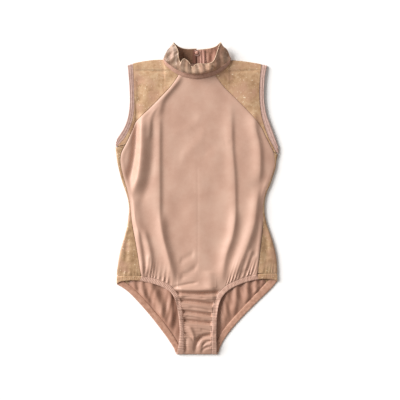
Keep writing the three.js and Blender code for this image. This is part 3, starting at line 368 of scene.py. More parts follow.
def seamRelief(x, y):
    # the front seam: a groove, with the panel's edge proud beside it and the lace a little lower
    curve = bySide(x, frontSeamX, y)
    ahead = bySide(x, frontSeamX, y + 1)
    inward = (curve - x) * np.where(x < 0, -1, 1) / np.sqrt(1 + (ahead - curve) ** 2)
    left, right = (high + low * smooth((60 - y) / 60) for high, low in seamForm["proud"].values())
    beside = np.exp(-(((inward - seamForm["edgeAt"]) / seamForm["edgeWidth"]) ** 2))
    panelEdge = np.where(x < 0, left, right) * beside * smooth((inward + 0.5) / 2)
    lace = np.where(inward < 0, -seamForm["laceDrop"] * np.exp(inward / seamForm["laceReach"]), 0.0)
    groove = seamForm["groove"] * np.exp(-((inward / seamForm["grooveWidth"]) ** 2))
    return (panelEdge + lace - groove) * smooth((y + 184) / 8) * smooth((288 - y) / 8)


def frontZ(x, y):
    # height of the front's outer face
    x, y = np.broadcast_arrays(np.asarray(x, float), np.asarray(y, float))
    away = edgeDistance(x, y)
    z = shape["foldHeight"] + shape["bodyRise"] * (1 - np.exp(-away / shape["riseLength"]))
    calm = smooth(away / shape["edgeCalm"])
    strapCalm = 0.2 + 0.8 * smooth((strapInward(x, y) + 0.5) / 4)
    calm = calm + (strapCalm - calm) * smooth((-206 - y) / 12)
    z = z + (foldSum(x, y, frontFolds) + seamRelief(x, y)) * np.maximum(calm, 0.15) * smooth((y + 359) / 9)
    # slack cloth: short low waves on long ones
    slack = 0.28 * np.sin(x / 9.1 + 0.6 * np.sin(y / 31)) * np.sin(y / 23 + 0.8 * np.sin(x / 27))
    slack += 0.5 * np.sin(x / 31 + 0.9 * np.sin(y / 47)) * np.sin(y / 61 + x / 83)
    z = z + slack * calm
    inStrap = smooth((-200 - y) / 14) * smooth((y + 356) / 22) * smooth((46 - np.abs(x)) / 12)
    z = z + shape["strapRise"] * inStrap
    above = np.maximum(0, y - bySide(x, legY, x))
    lift = np.exp(-above / hemLift["fade"]) * smooth((184 - np.abs(x)) / 35)
    z = z + hemLift["height"] * lift * smooth((-110 - y) / 40) * smooth((y + 356) / 25)
    return z + gatherSum(x, y) + strapSum(x, y)


def backLift(x, y):
    # height of the back's under face: flat but for folds and gathers near the leg edges
    x, y = np.broadcast_arrays(np.asarray(x, float), np.asarray(y, float))
    s = np.where(x < 0, -1.0, 1.0)
    inward = (bySide(x, backLegSeamX, np.minimum(y, -196)) - x) * s
    u = (x * 0.95 + s * y * 0.28) / backGathers["spacing"]
    phase = 2 * math.pi * (u + 0.16 * np.sin(2.1 * u + s) + 0.1 * np.sin(y / 19))
    start = smooth((-120 - y) / 60)
    calm = smooth(inward / 10) * smooth((np.abs(x) - 3) / 18)
    reach = np.exp(-np.abs(inward - backGathers["inset"]) / backGathers["fade"])
    shown = smooth((bySide(x, legY, x) - y + 6) / 22) * smooth((np.abs(x) - 38) / 12)
    share = backGathers["covered"] + (1 - backGathers["covered"]) * shown
    wave = (0.5 - 0.5 * np.cos(phase)) ** 1.4 + 0.12 * np.sin(phase * 2.3 + y / 12)
    gathers = backGathers["depth"] * wave * reach * share + foldSum(x, y, seatFolds)
    return np.maximum(gathers * start * calm, 0)


# Mesh making

def addObject(name, data):
    piece = bpy.data.objects.new(name, data)
    bpy.context.scene.collection.objects.link(piece)
    return piece


def newObject(name, vertices, faces, material):
    mesh = bpy.data.meshes.new(name)
    mesh.from_pydata((np.asarray(vertices) * mm).tolist(), [], faces)
    mesh.validate()
    mesh.polygons.foreach_set("use_smooth", [True] * len(mesh.polygons))
    mesh.set_sharp_from_angle(angle=math.radians(55))
    mesh.materials.append(material)
    return addObject(name, mesh)


def turnedOut(vertices, quads):
    # faces pointing outwards, whatever way the rows run
    p = np.asarray(vertices)[np.asarray(quads)]
    volume = np.einsum("ij,ij->i", p[:, 0], np.cross(p[:, 1], p[:, 2])).sum()
    volume += np.einsum("ij,ij->i", p[:, 0], np.cross(p[:, 2], p[:, 3])).sum()
    return quads if volume > 0 else quads[:, ::-1]


def shell(name, grid, inner, material, lining=None):
    # a closed shell between two grids of points
    n, m = grid.shape[:2]
    vertices = np.concatenate([grid.reshape(-1, 3), inner.reshape(-1, 3)])
    at = np.arange(n * m).reshape(n, m)
    under = at + n * m
    top = np.stack([at[:-1, :-1], at[1:, :-1], at[1:, 1:], at[:-1, 1:]], -1).reshape(-1, 4)
    bottom = np.stack([under[:-1, :-1], under[:-1, 1:], under[1:, 1:], under[1:, :-1]], -1).reshape(-1, 4)
    rims = []
    for o, u, flip in ((at[0], under[0], False), (at[-1], under[-1], True),
                       (at[:, 0], under[:, 0], True), (at[:, -1], under[:, -1], False)):
        rim = np.stack([o[:-1], o[1:], u[1:], u[:-1]], -1)
        rims.append(rim[:, ::-1] if flip else rim)
    quads = turnedOut(vertices, np.concatenate([top, bottom, *rims]))
    piece = newObject(name, vertices, quads.tolist(), material)
    if lining:
        piece.data.materials.append(lining)
        inside = np.zeros(len(quads), np.int32)
        inside[len(top):len(top) + len(bottom)] = 1
        piece.data.polygons.foreach_set("material_index", inside)
    return piece


def tube(name, grid, material, closed=False):
    # rings of points joined into a tube: closed on itself, or with a flat face at each end
    vertices = grid.reshape(-1, 3)
    count, m = grid.shape[:2]
    at = np.arange(count * m).reshape(count, m)
    at = np.concatenate([at, at[:, :1]], 1)
    if closed:
        at = np.concatenate([at, at[:1]], 0)
    quads = np.stack([at[:-1, :-1], at[1:, :-1], at[1:, 1:], at[:-1, 1:]], -1).reshape(-1, 4)
    faces = turnedOut(vertices, quads).tolist()
    if not closed:
        flip = faces[0] != quads[0].tolist()
        ends = [at[0, :-1].tolist(), at[-1, :-1][::-1].tolist()]
        faces += [end[::-1] if flip else end for end in ends]
    return newObject(name, vertices, faces, material)


def gridNormals(grid):
    normal = np.cross(np.gradient(grid, axis=0), np.gradient(grid, axis=1))
    return normal / np.maximum(np.linalg.norm(normal, axis=2, keepdims=True), 1e-9)


def clothShell(name, grid, material, place, up=True):
    # cloth between the grid and its offset, which lies above it, or below, at the given place
    normal = gridNormals(grid)
    if (normal[place][2] > 0) != up:
        normal = -normal
    return shell(name, grid, grid + normal * shape["cloth"], material)


def frontGrid(x, y):
    return np.stack([x, y, frontZ(x, y)], -1)


def frontShell(name, rows, material, lastRows=(), lastInner=()):
    # cloth of the front: its inner face follows the slopes of the outer one
    grid = np.stack([frontGrid(x, y) for x, y in rows])
    x, y = grid[..., 0], grid[..., 1]
    step = 0.4
    slopeX = (frontZ(x + step, y) - frontZ(x - step, y)) / (2 * step)
    slopeY = (frontZ(x, y + step) - frontZ(x, y - step)) / (2 * step)
    normal = np.stack([-slopeX, -slopeY, np.ones_like(x)], -1)
    inner = grid - normal / np.linalg.norm(normal, axis=-1, keepdims=True) * shape["cloth"]
    if len(lastRows):
        grid = np.concatenate([grid, np.stack(lastRows)])
        inner = np.concatenate([inner, np.stack(lastInner)])
    return shell(name, grid, inner, material)


turns = np.linspace(0, 1, 11)       # places round a fold, from its top to underneath


def foldArc(x, y, outX, outY, turn, lift=0.0):
    # points on a fold: turn runs from 0, on top, to 1, underneath
    angle = math.pi * (0.5 - turn)
    reach = (foldRadius + lift) * np.cos(angle) - foldRadius
    return np.stack(np.broadcast_arrays(
        x + outX * reach, y + outY * reach, foldRadius + (foldRadius + lift) * np.sin(angle)), -1)


def spread(count, ends=0.0):
    # shares from 0 to 1, drawn closer together at the ends
    t = np.linspace(0, 1, count)
    return t - ends * np.sin(2 * math.pi * t) / (2 * math.pi)


# Materials

def linear(code):
    values = [int(code[i:i + 2], 16) / 255 for i in (1, 3, 5)]
    return tuple(v / 12.92 if v <= 0.04045 else ((v + 0.055) / 1.055) ** 2.4 for v in values) + (1.0,)


def addNode(tree, kind, settings=None, **links):
    # one node: plain settings, then a value, socket or node for each input, by name or as i0, i1 and so on
    node = tree.nodes.new(kind if "Node" in kind else "ShaderNode" + kind)
    for key, value in (settings or {}).items():
        setattr(node, key, value)
    for key, value in links.items():
        socket = node.inputs[int(key[1:]) if key[1:].isdigit() else key.replace("_", " ")]
        if isinstance(value, bpy.types.Node):
            value = next(output for output in value.outputs if output.enabled)
        if isinstance(value, bpy.types.NodeSocket):
            tree.links.new(value, socket)
        else:
            socket.default_value = value
    return node


def newMaterial(name):
    material = bpy.data.materials.new(name)
    material.use_nodes = True
    tree = material.node_tree
    tree.nodes.clear()
    return material, tree


def addSurface(tree, color, height, relief, **look):
    # the shader and its bump; relief: strength and depth in metres
    bump = addNode(tree, "Bump", Strength=relief[0], Distance=relief[1], Height=height)
    shader = addNode(tree, "BsdfPrincipled", Base_Color=color, Normal=bump, **look)
    addNode(tree, "OutputMaterial", Surface=shader)


def ramp(tree, factor, stops):
    node = addNode(tree, "ValToRGB", Fac=factor)
    elements = node.color_ramp.elements
    while len(elements) < len(stops):
        elements.new(0.5)
    for element, (position, code) in zip(elements, stops):
        element.position = position
        element.color = linear(code)
    return node


fuzzTint = linear("#F3DACB")
multiplyAdd = {"operation": "MULTIPLY_ADD"}
multiply = {"operation": "MULTIPLY"}
colorMix = {"data_type": "RGBA"}
colorMultiply = {"data_type": "RGBA", "blend_type": "MULTIPLY"}
alongX = {"bands_direction": "X"}
soft = {"feature": "SMOOTH_F1"}


tricot = {"patches": 26.0, "grain": 620.0, "wales": 260.0, "relief": (0.16, 0.0004), "roughness": 0.56}


def tricotMaterial(name, light, mid, dark, sheen, paintedShade=None):
    # nylon and elastane tricot, brushed soft on its face: matt with a faint satin bloom
    # last argument: axis, where it starts and is full in mm, tone and share of a painted shade, for cloth
    # that lies in shade
    material, tree = newMaterial(name)
    place = addNode(tree, "TexCoord").outputs["Object"]
    patches = addNode(tree, "TexNoise", Vector=place, Scale=tricot["patches"], Detail=3.0, Roughness=0.55)
    grain = addNode(tree, "TexNoise", Vector=place, Scale=tricot["grain"], Detail=2.0, Roughness=0.6)
    blend = addNode(tree, "Math", multiplyAdd, i0=grain, i1=0.35, i2=patches)
    shift = addNode(tree, "Math", {"operation": "SUBTRACT"}, i0=blend, i1=0.175)
    color = ramp(tree, shift, [(0.34, dark), (0.5, mid), (0.68, light)])
    # painted shade: a darker tone mixed in along one axis
    if paintedShade:
        axis, start, full, tone, share = paintedShade
        along = addNode(tree, "SeparateXYZ", Vector=place).outputs[axis]
        paintedShadeMask = addNode(tree, "MapRange", {"interpolation_type": "SMOOTHSTEP"}, Value=along,
                       i1=start * mm, i2=full * mm, i3=0.0, i4=share)
        color = addNode(tree, "Mix", colorMix, Factor=paintedShadeMask, i6=color, i7=linear(tone))
    # wales of the knit, 1.2 mm apart where real ones are 0.5 mm, so that they show
    wales = addNode(tree, "TexWave", alongX, Vector=place, Scale=tricot["wales"], Distortion=2.0, Detail=2.0)
    relief = addNode(tree, "Math", multiplyAdd, i0=wales.outputs["Fac"], i1=0.5, i2=grain)
    addSurface(tree, color, relief, tricot["relief"], Roughness=tricot["roughness"], Sheen_Weight=sheen,
               Sheen_Roughness=0.45, Sheen_Tint=fuzzTint)
    return material


# repeats in a metre: flowers about 11 mm wide, sprigs 4 mm, and net 2 mm, coarser than real so that it shows
lace = {"petals": 92.0, "sprigs": 230.0, "cloud": 22.0, "net": 520.0, "blush": 31.0, "paintedGlints": 300.0,
        "bend": (0.014, 0.014, 0.014)}     # metres by which the flowers' outlines wander
# painted light and shade on the ruffled collar: painted shade in the valleys of its folds, and a tone that
# changes between two places, from one factor to another
collarPaintedLightAndShade = {"valleys": 19.0, "acrossX": (-60, 60, 0.7, 1.28), "alongY": (304, 320, 1.16, 1.0)}


def laceMaterial(name, dark, mid, light, blush, paintedGlint, paintedFoldShade=0.0):
    # stretch lace of nylon with a flat metallic yarn over a fine net: mottled, dry, with small painted glints
    # for the highlights on the yarn
    material, tree = newMaterial(name)
    place = addNode(tree, "TexCoord").outputs["Object"]
    warp = addNode(tree, "TexNoise", Vector=place, Scale=60.0, Detail=2.0)
    bent = addNode(tree, "VectorMath", multiplyAdd, i0=warp.outputs["Color"], i1=lace["bend"], i2=place)
    petals = addNode(tree, "TexVoronoi", soft, Vector=bent, Scale=lace["petals"], Randomness=0.85,
                     Smoothness=0.6)
    sprigs = addNode(tree, "TexVoronoi", soft, Vector=bent, Scale=lace["sprigs"], Smoothness=0.5)
    cloud = addNode(tree, "TexNoise", Vector=place, Scale=lace["cloud"], Detail=4.0, Roughness=0.58)
    net = addNode(tree, "TexVoronoi", {"feature": "DISTANCE_TO_EDGE"}, Vector=place, Scale=lace["net"])
    mix = addNode(tree, "Math", multiplyAdd, i0=petals, i1=0.32, i2=cloud)
    mix = addNode(tree, "Math", multiplyAdd, i0=sprigs, i1=-0.22, i2=mix)
    color = ramp(tree, mix, [(0.32, dark), (0.54, mid), (0.76, light)])
    rosy = addNode(tree, "TexNoise", Vector=place, Scale=lace["blush"], Detail=2.0)
    rosy = addNode(tree, "MapRange", Value=rosy, i1=0.46, i2=0.66, i3=0.0, i4=0.75)
    color = addNode(tree, "Mix", colorMix, Factor=rosy, i6=color, i7=linear(blush))
    lines = addNode(tree, "MapRange", Value=net, i1=0.0, i2=0.12, i3=0.9, i4=1.0)
    color = addNode(tree, "Mix", colorMultiply, Factor=1.0, i6=color, i7=lines)
    if paintedFoldShade:
        # painted shade: darker bands along X stand for the shade in the valleys of the collar's upright folds
        tone = addNode(tree, "TexWave", alongX, Vector=place, Scale=collarPaintedLightAndShade["valleys"], Distortion=2.2,
                       Detail=1.0, Detail_Scale=1.5).outputs["Fac"]
        tone = addNode(tree, "MapRange", Value=tone, i1=0.2, i2=0.8, i3=1.0 - paintedFoldShade, i4=1.06)
        # painted light and shade: darker on the left, which faces the light, lighter on the right, which lies
        # in shade, and lighter along the front
        axes = addNode(tree, "SeparateXYZ", Vector=place).outputs
        for axis, (start, end, first, last) in zip(axes, (collarPaintedLightAndShade["acrossX"], collarPaintedLightAndShade["alongY"])):
            factor = addNode(tree, "MapRange", Value=axis, i1=start * mm, i2=end * mm, i3=first, i4=last)
            tone = addNode(tree, "Math", multiply, i0=tone, i1=factor)
        color = addNode(tree, "Mix", colorMultiply, Factor=1.0, i6=color, i7=tone)
    # painted glints: bright flecks in the colour stand for highlights on the metallic yarn
    spark = addNode(tree, "TexNoise", Vector=place, Scale=lace["paintedGlints"], Detail=1.0)
    paintedGlints = addNode(tree, "MapRange", Value=spark, i1=0.69, i2=0.75, i3=0.0, i4=0.9)
    color = addNode(tree, "Mix", colorMix, Factor=paintedGlints, i6=color, i7=linear(paintedGlint))
    relief = addNode(tree, "Math", multiplyAdd, i0=petals, i1=1.2, i2=spark)
    addSurface(tree, color, relief, (0.3, 0.0005), Roughness=0.5, Metallic=0.12, Sheen_Weight=0.12)
    return material


def elasticMaterial(name, color, shade, rib):
    # folded elastic tape of nylon: matt, finely ribbed along its length
    material, tree = newMaterial(name)
    place = addNode(tree, "TexCoord").outputs["Object"]
    patches = addNode(tree, "TexNoise", Vector=place, Scale=160.0, Detail=3.0)
    grain = addNode(tree, "TexNoise", Vector=place, Scale=900.0, Detail=2.0)
    tone = ramp(tree, patches, [(0.36, shade), (0.64, color)])
    relief = addNode(tree, "Math", multiplyAdd, i0=grain, i1=rib, i2=patches)
    addSurface(tree, tone, relief, (0.3, 0.0005), Roughness=0.62, Sheen_Weight=0.2, Sheen_Roughness=0.5,
               Sheen_Tint=fuzzTint)
    return material


def plainMaterial(name, code, roughness):
    material, tree = newMaterial(name)
    shader = addNode(tree, "BsdfPrincipled", Base_Color=linear(code), Roughness=roughness)
    addNode(tree, "OutputMaterial", Surface=shader)
    return material


# painted shade: the front darker over the strap, where its folds shade each other
strapPaintedShade = (1, -205, -215, "#A17A67", 0.5)
# painted shadow: the left facing turns dark towards the slit, where it runs under the right facing
slitPaintedShadow = (0, -4.2, -2.4, "#573628", 0.92)
# painted shade: the collar's inside darker on the left, where its inner wall faces away from the light
collarPaintedShade = (0, 1, -9, "#8A654C", 0.8)
satinTricot = tricotMaterial("satinTricot", "#C3A08D", "#BE9986", "#B8927F", 0.2, strapPaintedShade)
# the back's inside, darker than the face: painted shade of the cloth that lies under the front
shadedInnerTricot = tricotMaterial("brushedTricotInsideShaded", "#AE8571", "#A57B67", "#9A705D", 0.08)
facingSatin = tricotMaterial("facingSatin", "#CF9F8F", "#C49483", "#B58676", 0.2)
# a darker copy of the facing: painted shade on the facing that lies under the right one, with a painted
# shadow at the slit
shadedFacingUnder = tricotMaterial("shadedFacingUnder", "#B07F6D", "#A47362", "#946555", 0.1, slitPaintedShadow)
collarLining = tricotMaterial("collarLining", "#C0937F", "#B48673", "#9E7460", 0.1, collarPaintedShade)
metallicLace = laceMaterial("metallicLace", "#A27D5A", "#BB9673", "#CBAB88", "#BF947B", "#EBD8BC")
# a darker copy of the lace: painted shade on the side panels
shadedSideLace = laceMaterial("metallicLaceSidesShaded", "#957352", "#AD8B69", "#BE9F7D", "#B08870", "#E2CFB4")
# a darker copy of the lace: painted shade on the collar, with painted light and shade across it
shadedCollarLace = laceMaterial("metallicLaceCollarShaded", "#86664B", "#A2806A", "#B6977F", "#A9816D", "#D8C3A8", 0.3)
legElastic = elasticMaterial("legElastic", "#C39E8C", "#B68F7E", 0.8)
foldedElastic = elasticMaterial("foldedElastic", "#BD9D92", "#AC8B80", 0.8)
neckElastic = elasticMaterial("neckElastic", "#BC9583", "#AE8573", 0.8)
backElastic = elasticMaterial("backElasticTape", "#BC907A", "#A67A64", 1.2)
sewingThread = plainMaterial("polyesterThread", "#CFAA99", 0.5)
laceEdge = plainMaterial("laceEdgeYarn", "#CDB095", 0.6)
paper = plainMaterial("paperBackdrop", "#F6F6F6", 0.9)
print("materials made")


# Pieces of cloth

pieces = []


def keep(piece, nodes):
    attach(piece, "root")
    if nodes:
        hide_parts(*nodes)
    pieces.append(piece)
    return piece


legSeamStart = {"left": 0.194, "right": 0.16}     # share of the front hem's seam that is sewn to the lace
panel = {
    "columns": 188, "neckHalf": 42.5, "neckSag": 8.5,    # the rows sag with the neck's edge
    "bodyRows": np.arange(281, -118, -5.1), "hipRows": np.arange(-120, -171, -2.2), "lastRow": -172,
    "hemShares": np.arange(0.004, 0.3, 0.006), "strapShares": np.linspace(0.306, 0.99, 88),
    "tuck": 8,           # how far the strap's end runs on under the crotch fold
}


def frontPanel():
    across = spread(panel["columns"], 0.3)
    neckX = np.linspace(-panel["neckHalf"], panel["neckHalf"], len(across))
    rows = [(neckX, neckFrontY(neckX) - gap)]
    for y in np.concatenate([panel["bodyRows"], panel["hipRows"], [panel["lastRow"]]]):
        left = frontSeamX["left"](y) + gap / 2
        right = frontSeamX["right"](y) - gap / 2
        sag = np.clip((y - 255) / 26, 0, 1) * panel["neckSag"]
        rows.append((left + (right - left) * across, y - sag * (1 - (2 * across - 1) ** 2)))
    for u in np.concatenate([panel["hemShares"], panel["strapShares"]]):
        ends = []
        for side in sides:
            t = legSeamStart[side] + (1 - legSeamStart[side]) * u
            tangent = legSeam[side](t + 0.004) - legSeam[side](t - 0.004)
            inward = np.array([-tangent[1], tangent[0]]) * -sign[side]
            ends.append(legSeam[side](t) + gap * inward / np.linalg.norm(inward))
        a, b = ends
        s = 2 * across - 1
        middle = (a[1] + b[1]) / 2 - 5 * smooth((b[0] - 45) / 60)
        rows.append((a[0] + (b[0] - a[0]) * across, middle + (np.where(s < 0, a[1], b[1]) - middle) * s ** 2))
    left, right = legSeam["left"](1.0)[0] + gap, legSeam["right"](1.0)[0] - gap
    x = left + (right - left) * across
    fold = []
    for lift in (0.0, -shape["cloth"]):
        fold.append([foldArc(x, crotchY, 0, -1, turn, lift) for turn in np.linspace(0, 1, 9)])
        fold[-1].append(np.stack([x, np.full_like(x, crotchY + panel["tuck"]), np.full_like(x, -lift)], -1))
    piece = frontShell("frontPanel", rows, satinTricot, *fold)
    keep(piece, ["front_panel"])


frontYokeForm = {"columns": 80, "neckY": 284, "neckHalf": (42.9, 60.6), "step": 2.4, "underarm": 1.2}


def frontYoke(side):
    s = sign[side]
    form = frontYokeForm
    across = spread(form["columns"], 0.3)
    rows = []
    neckY = form["neckY"]
    low, high = form["neckHalf"]
    end = underarm[side][1] + form["underarm"]
    top = np.linspace(shoulderSeamY - gap, neckY, 6)
    for y in np.concatenate([top, np.arange(neckY - 2.5, end + 3, -form["step"]), [end]]):
        outX = armholeX[side](y) - s * gap / 2
        inX, inY = frontSeamX[side](y) + s * gap / 2, y
        if y > neckY - 1:
            inX = s * (low + (high - low) * (y - neckY) / (shoulderSeamY - neckY))
            inY = neckFrontY(inX) - gap * 1.4
        near = smooth((end + 12 - y) / 12)
        inY = inY + 5 * near
        if near > 0:
            inX = frontSeamX[side](inY) + s * gap / 2
        rows.append((outX + (inX - outX) * across, y + (inY - y) * across))
    piece = frontShell("frontYoke_" + side, rows, metallicLace)
    keep(piece, ["front_yoke_" + side])


# Rows of the back yoke beside the neck, on top and underneath: y at the armhole, x and y at the neck
backYokeTop = [(299, 65.2, 299.2), (303, 69.6, 303.4)]
backYokeUnder = [(302, 63, 308.2), (290, 46.4, 302.6)]
backYokeNeck = {"seamX": 60.8, "foldX": 75.6, "foldY": 309}


def backYoke(side):
    s = sign[side]
    t = spread(60, 0.2)
    edge = lambda y: armholeX[side](y) - s * gap / 2
    seamX = s * backYokeNeck["seamX"]
    rows = []
    top = [(shoulderSeamY, seamX, neckFrontY(seamX) - gap)]
    top += [(y, s * inX, inY) for y, inX, inY in backYokeTop]
    for y, inX, inY in top:
        rows.append(frontGrid(edge(y) + (inX - edge(y)) * t, y + (inY - y) * t))
    outX, inX = edge(backYokeNeck["foldY"]), s * backYokeNeck["foldX"]
    x = outX + (inX - outX) * t
    for turn in np.linspace(0, 1, 9):
        rows.append(foldArc(x, shoulderY[side](x), 0, 1, turn))
    end = underarm[side][1] + frontYokeForm["underarm"]
    under = [(y, s * inX, inY) for y, inX, inY in backYokeUnder]
    under += [(y, backSeamX[side](y) + s * gap / 2, y) for y in np.append(np.arange(276, end + 3, -8), end)]
    for y, inX, inY in under:
        x = edge(y) + (inX - edge(y)) * t
        rows.append(np.stack([x, y + (inY - y) * t, np.zeros_like(x)], -1))
    piece = clothShell("backYoke_" + side, np.stack(rows), metallicLace, (-5, 30))
    keep(piece, ["back_yoke_" + side])


# The side seam: where it meets the hip, and how far it runs lower on the back from dropY down
hip = {"left": {"y": -177.0, "drop": 22.0}, "right": {"y": -171.6, "drop": 24.4}}
dropY = -66
sideForm = {"columns": 34, "step": 2.2, "rise": 5.4, "pucker": 0.25}    # rise: up towards the front seam


def sideBackY(side, y):
    t = np.clip((dropY - y) / (dropY - hip[side]["y"]), 0, 1)
    return y - hip[side]["drop"] * smooth(t) ** 2


def sidePanel(side):
    s = sign[side]
    top = underarm[side][1] - 1
    bottom = hip[side]["y"] + gap
    t = spread(sideForm["columns"], 0.25)[:-1]
    f = np.linspace(0, 1, 8)[1:]
    rows = []
    for y in np.concatenate([[top], np.arange(top - 1.6, bottom + 1, -sideForm["step"]), [bottom]]):
        lift = sideForm["rise"] * smooth((y - top + 12) / 12)
        edgeX = outlineX[side](y)
        seamX = frontSeamX[side](y + lift) + s * gap / 2
        flatX = edgeX - s * foldRadius
        front = frontGrid(seamX + (flatX - seamX) * t, y + lift * (1 - t))
        pucker = sideForm["pucker"] * np.sin(y / 2.9) * np.sin(math.pi * t)
        front[:, 2] += pucker * smooth((y + 168) / 20)
        arc = np.stack([foldArc(edgeX, y, s, 0, turn) for turn in turns])
        backY = sideBackY(side, y)
        backX = backSeamX[side](backY) + s * gap / 2
        back = np.stack([flatX + (backX - flatX) * f, y + (backY - y) * f, 0 * f], -1)
        rows.append(np.concatenate([front, arc, back]))
    piece = clothShell("sidePanel_" + side, np.stack(rows), shadedSideLace, (len(rows) // 2, 10), up=False)
    keep(piece, ["side_panel_" + side])


backForm = {"columns": 70, "neckX": 45.4, "neckY": (301.6, 298.8), "endX": 34}


def backHalf(side):
    s = sign[side]
    middleX = s * gap / 2
    t = np.linspace(0, 1, backForm["columns"])
    legEnd = crotchY + 8 + gap
    rows = []

    def addRow(outX, outY, midY):
        x = outX + (middleX - outX) * t
        y = outY + (midY - outY) * (1 - (1 - t) ** 2)
        rows.append(np.stack([x, y, backLift(x, y)], -1))

    addRow(s * backForm["neckX"], *backForm["neckY"])
    hipEnd = sideBackY(side, hip[side]["y"])
    for y in np.concatenate([np.arange(288, -110, -12), np.arange(-112, hipEnd, -3)]):
        addRow(backSeamX[side](y) - s * gap / 2, y, y - 4 * smooth((-110 - y) / 20))
    for y in np.arange(-202, -332, -2.6):
        addRow(backLegSeamX[side](y) - s * gap * 2, y, y + (legEnd - y) * 0.03 - 4 * smooth((y + 260) / 50))
    addRow(s * backForm["endX"], legEnd, legEnd)
    grid = np.stack(rows)
    piece = clothShell("backHalf_" + side, grid, shadedInnerTricot, (grid.shape[0] // 2, grid.shape[1] // 2))
    keep(piece, ["back_" + side])


# Thread: small stitches set along a line, and the rolled edge of the lace

stitch = {"pitch": 3.4, "length": 2.1, "width": 0.5, "height": 0.36}


def stitchTree():
    # Geometry Nodes: a line made into evenly spaced stitches that follow it
    tree = bpy.data.node_groups.new("stitchAlongLine", "GeometryNodeTree")
    for label, kind in (("Line", "Geometry"), ("Pitch", "Float"), ("Size", "Vector"), ("Thread", "Material")):
        tree.interface.new_socket(label, in_out="INPUT", socket_type="NodeSocket" + kind)
    tree.interface.new_socket("Stitches", in_out="OUTPUT", socket_type="NodeSocketGeometry")
    given = addNode(tree, "NodeGroupInput").outputs
    curve = addNode(tree, "GeometryNodeMeshToCurve", Mesh=given["Line"])
    even = addNode(tree, "GeometryNodeResampleCurve", {"mode": "LENGTH"}, Curve=curve, Length=given["Pitch"])
    tangent = addNode(tree, "GeometryNodeInputTangent")
    turned = addNode(tree, "FunctionNodeAlignRotationToVector", {"axis": "X"}, Vector=tangent)
    bead = addNode(tree, "GeometryNodeMeshUVSphere", Segments=6, Rings=4, Radius=0.5)
    placed = addNode(tree, "GeometryNodeInstanceOnPoints", Points=even, Instance=bead, Rotation=turned,
                     Scale=given["Size"])
    real = addNode(tree, "GeometryNodeRealizeInstances", Geometry=placed)
    dressed = addNode(tree, "GeometryNodeSetMaterial", Geometry=real, Material=given["Thread"])
    addNode(tree, "NodeGroupOutput", i0=dressed)
    return tree


stitchNodes = stitchTree()


def stitchLine(name, lines, thread):
    points, edges = [], []
    for line in lines:
        start = len(points)
        points += (np.asarray(line) * mm).tolist()
        edges += [(k, k + 1) for k in range(start, len(points) - 1)]
    mesh = bpy.data.meshes.new(name + "Line")
    mesh.from_pydata(points, edges, [])
    source = addObject(name + "Line", mesh)
    modifier = source.modifiers.new("stitches", "NODES")
    modifier.node_group = stitchNodes
    values = {"Pitch": stitch["pitch"] * mm, "Thread": thread,
              "Size": (stitch["length"] * mm, stitch["width"] * mm, stitch["height"] * mm)}
    for item in stitchNodes.interface.items_tree:
        if item.name in values:
            modifier[item.identifier] = values[item.name]
    evaluated = source.evaluated_get(bpy.context.evaluated_depsgraph_get())
    made = bpy.data.meshes.new_from_object(evaluated)
    made.name = name
    source.modifiers.remove(modifier)
    bpy.data.objects.remove(source)
    made.polygons.foreach_set("use_smooth", [True] * len(made.polygons))
    if not made.materials:
        made.materials.append(thread)
    return keep(addObject(name, made), [])


def roundAngles(count):
    return np.linspace(0, 2 * math.pi, count + 1)[:-1]


def rolledEdge(name, line, radius, material):
    # a thin round edge along a line of points
    line = np.asarray(line, float)
    along = np.gradient(line, axis=0)
    along /= np.linalg.norm(along, axis=1, keepdims=True)
    side = np.cross(along, (0, 0, 1.0))
    side /= np.linalg.norm(side, axis=1, keepdims=True)
    up = np.cross(side, along)
    angle = roundAngles(8)
    ring = side[:, None] * np.cos(angle)[None, :, None] + up[:, None] * np.sin(angle)[None, :, None]
    return tube(name, line[:, None] + ring * radius, material)


# Bindings: a ribbon with rounded edges swept along stations

outerFaces = {}


def outerLine(name, share):
    # a line on a ribbon's outer face, at a share of its width
    grid, w, h = outerFaces[name]
    return grid[:, np.argmin(np.abs(w - share) + 10 * (h < -0.5))]


def ribbonSection():
    # share of the width (0 free edge, 1 seam) and share of the thickness (0 outer, -1 inner)
    angle = roundAngles(32)
    c, n = np.cos(angle), np.sin(angle)
    w = 0.5 - 0.5 * np.sign(c) * np.abs(c) ** 0.55
    h = -0.5 + 0.5 * np.sign(n) * np.abs(n) ** 0.75
    return w, h


def ribbon(name, stations, material, thickness, grooves, ribs, closed=False):
    # stations: free edge point, seam edge point, outward vector, and on the front how far
    # the free edge stands up. grooves: place across and depth of each line of stitching.
    # ribs: depth and pitch of the elastic's cross ribs.
    w, h = ribbonSection()
    rings = []
    run = 0.0
    before = None
    for free, seam, out, tilt in stations:
        free, seam, out = (np.asarray(v, float) for v in (free, seam, out))
        points = free + (seam - free) * w[:, None]
        outer = np.sign(h + 0.5)
        ridge = sum(-depth * np.exp(-(((w - at) / 0.12) ** 2)) for at, depth in grooves) * outer
        puff = 0.28 * np.sin(math.pi * w) * outer
        if before is not None:
            run += np.linalg.norm(seam - before)
        before = seam
        wave = np.sin(2 * math.pi * run / ribs[1] + 0.8 * np.sin(run / 17))
        rib = ribs[0] * wave * np.sin(math.pi * w) ** 0.6
        if tilt is not None:
            points[:, 2] = frontZ(points[:, 0], points[:, 1]) + tilt * (1 - w) ** 1.3
        rings.append(points + out * (h * thickness + ridge + puff + rib * (h > -0.5))[:, None])
    grid = np.stack(rings)
    outerFaces[name] = (grid, w, h)
    return tube(name, grid, material, closed)


def flat3(p):
    return np.array([p[0], p[1], 0])


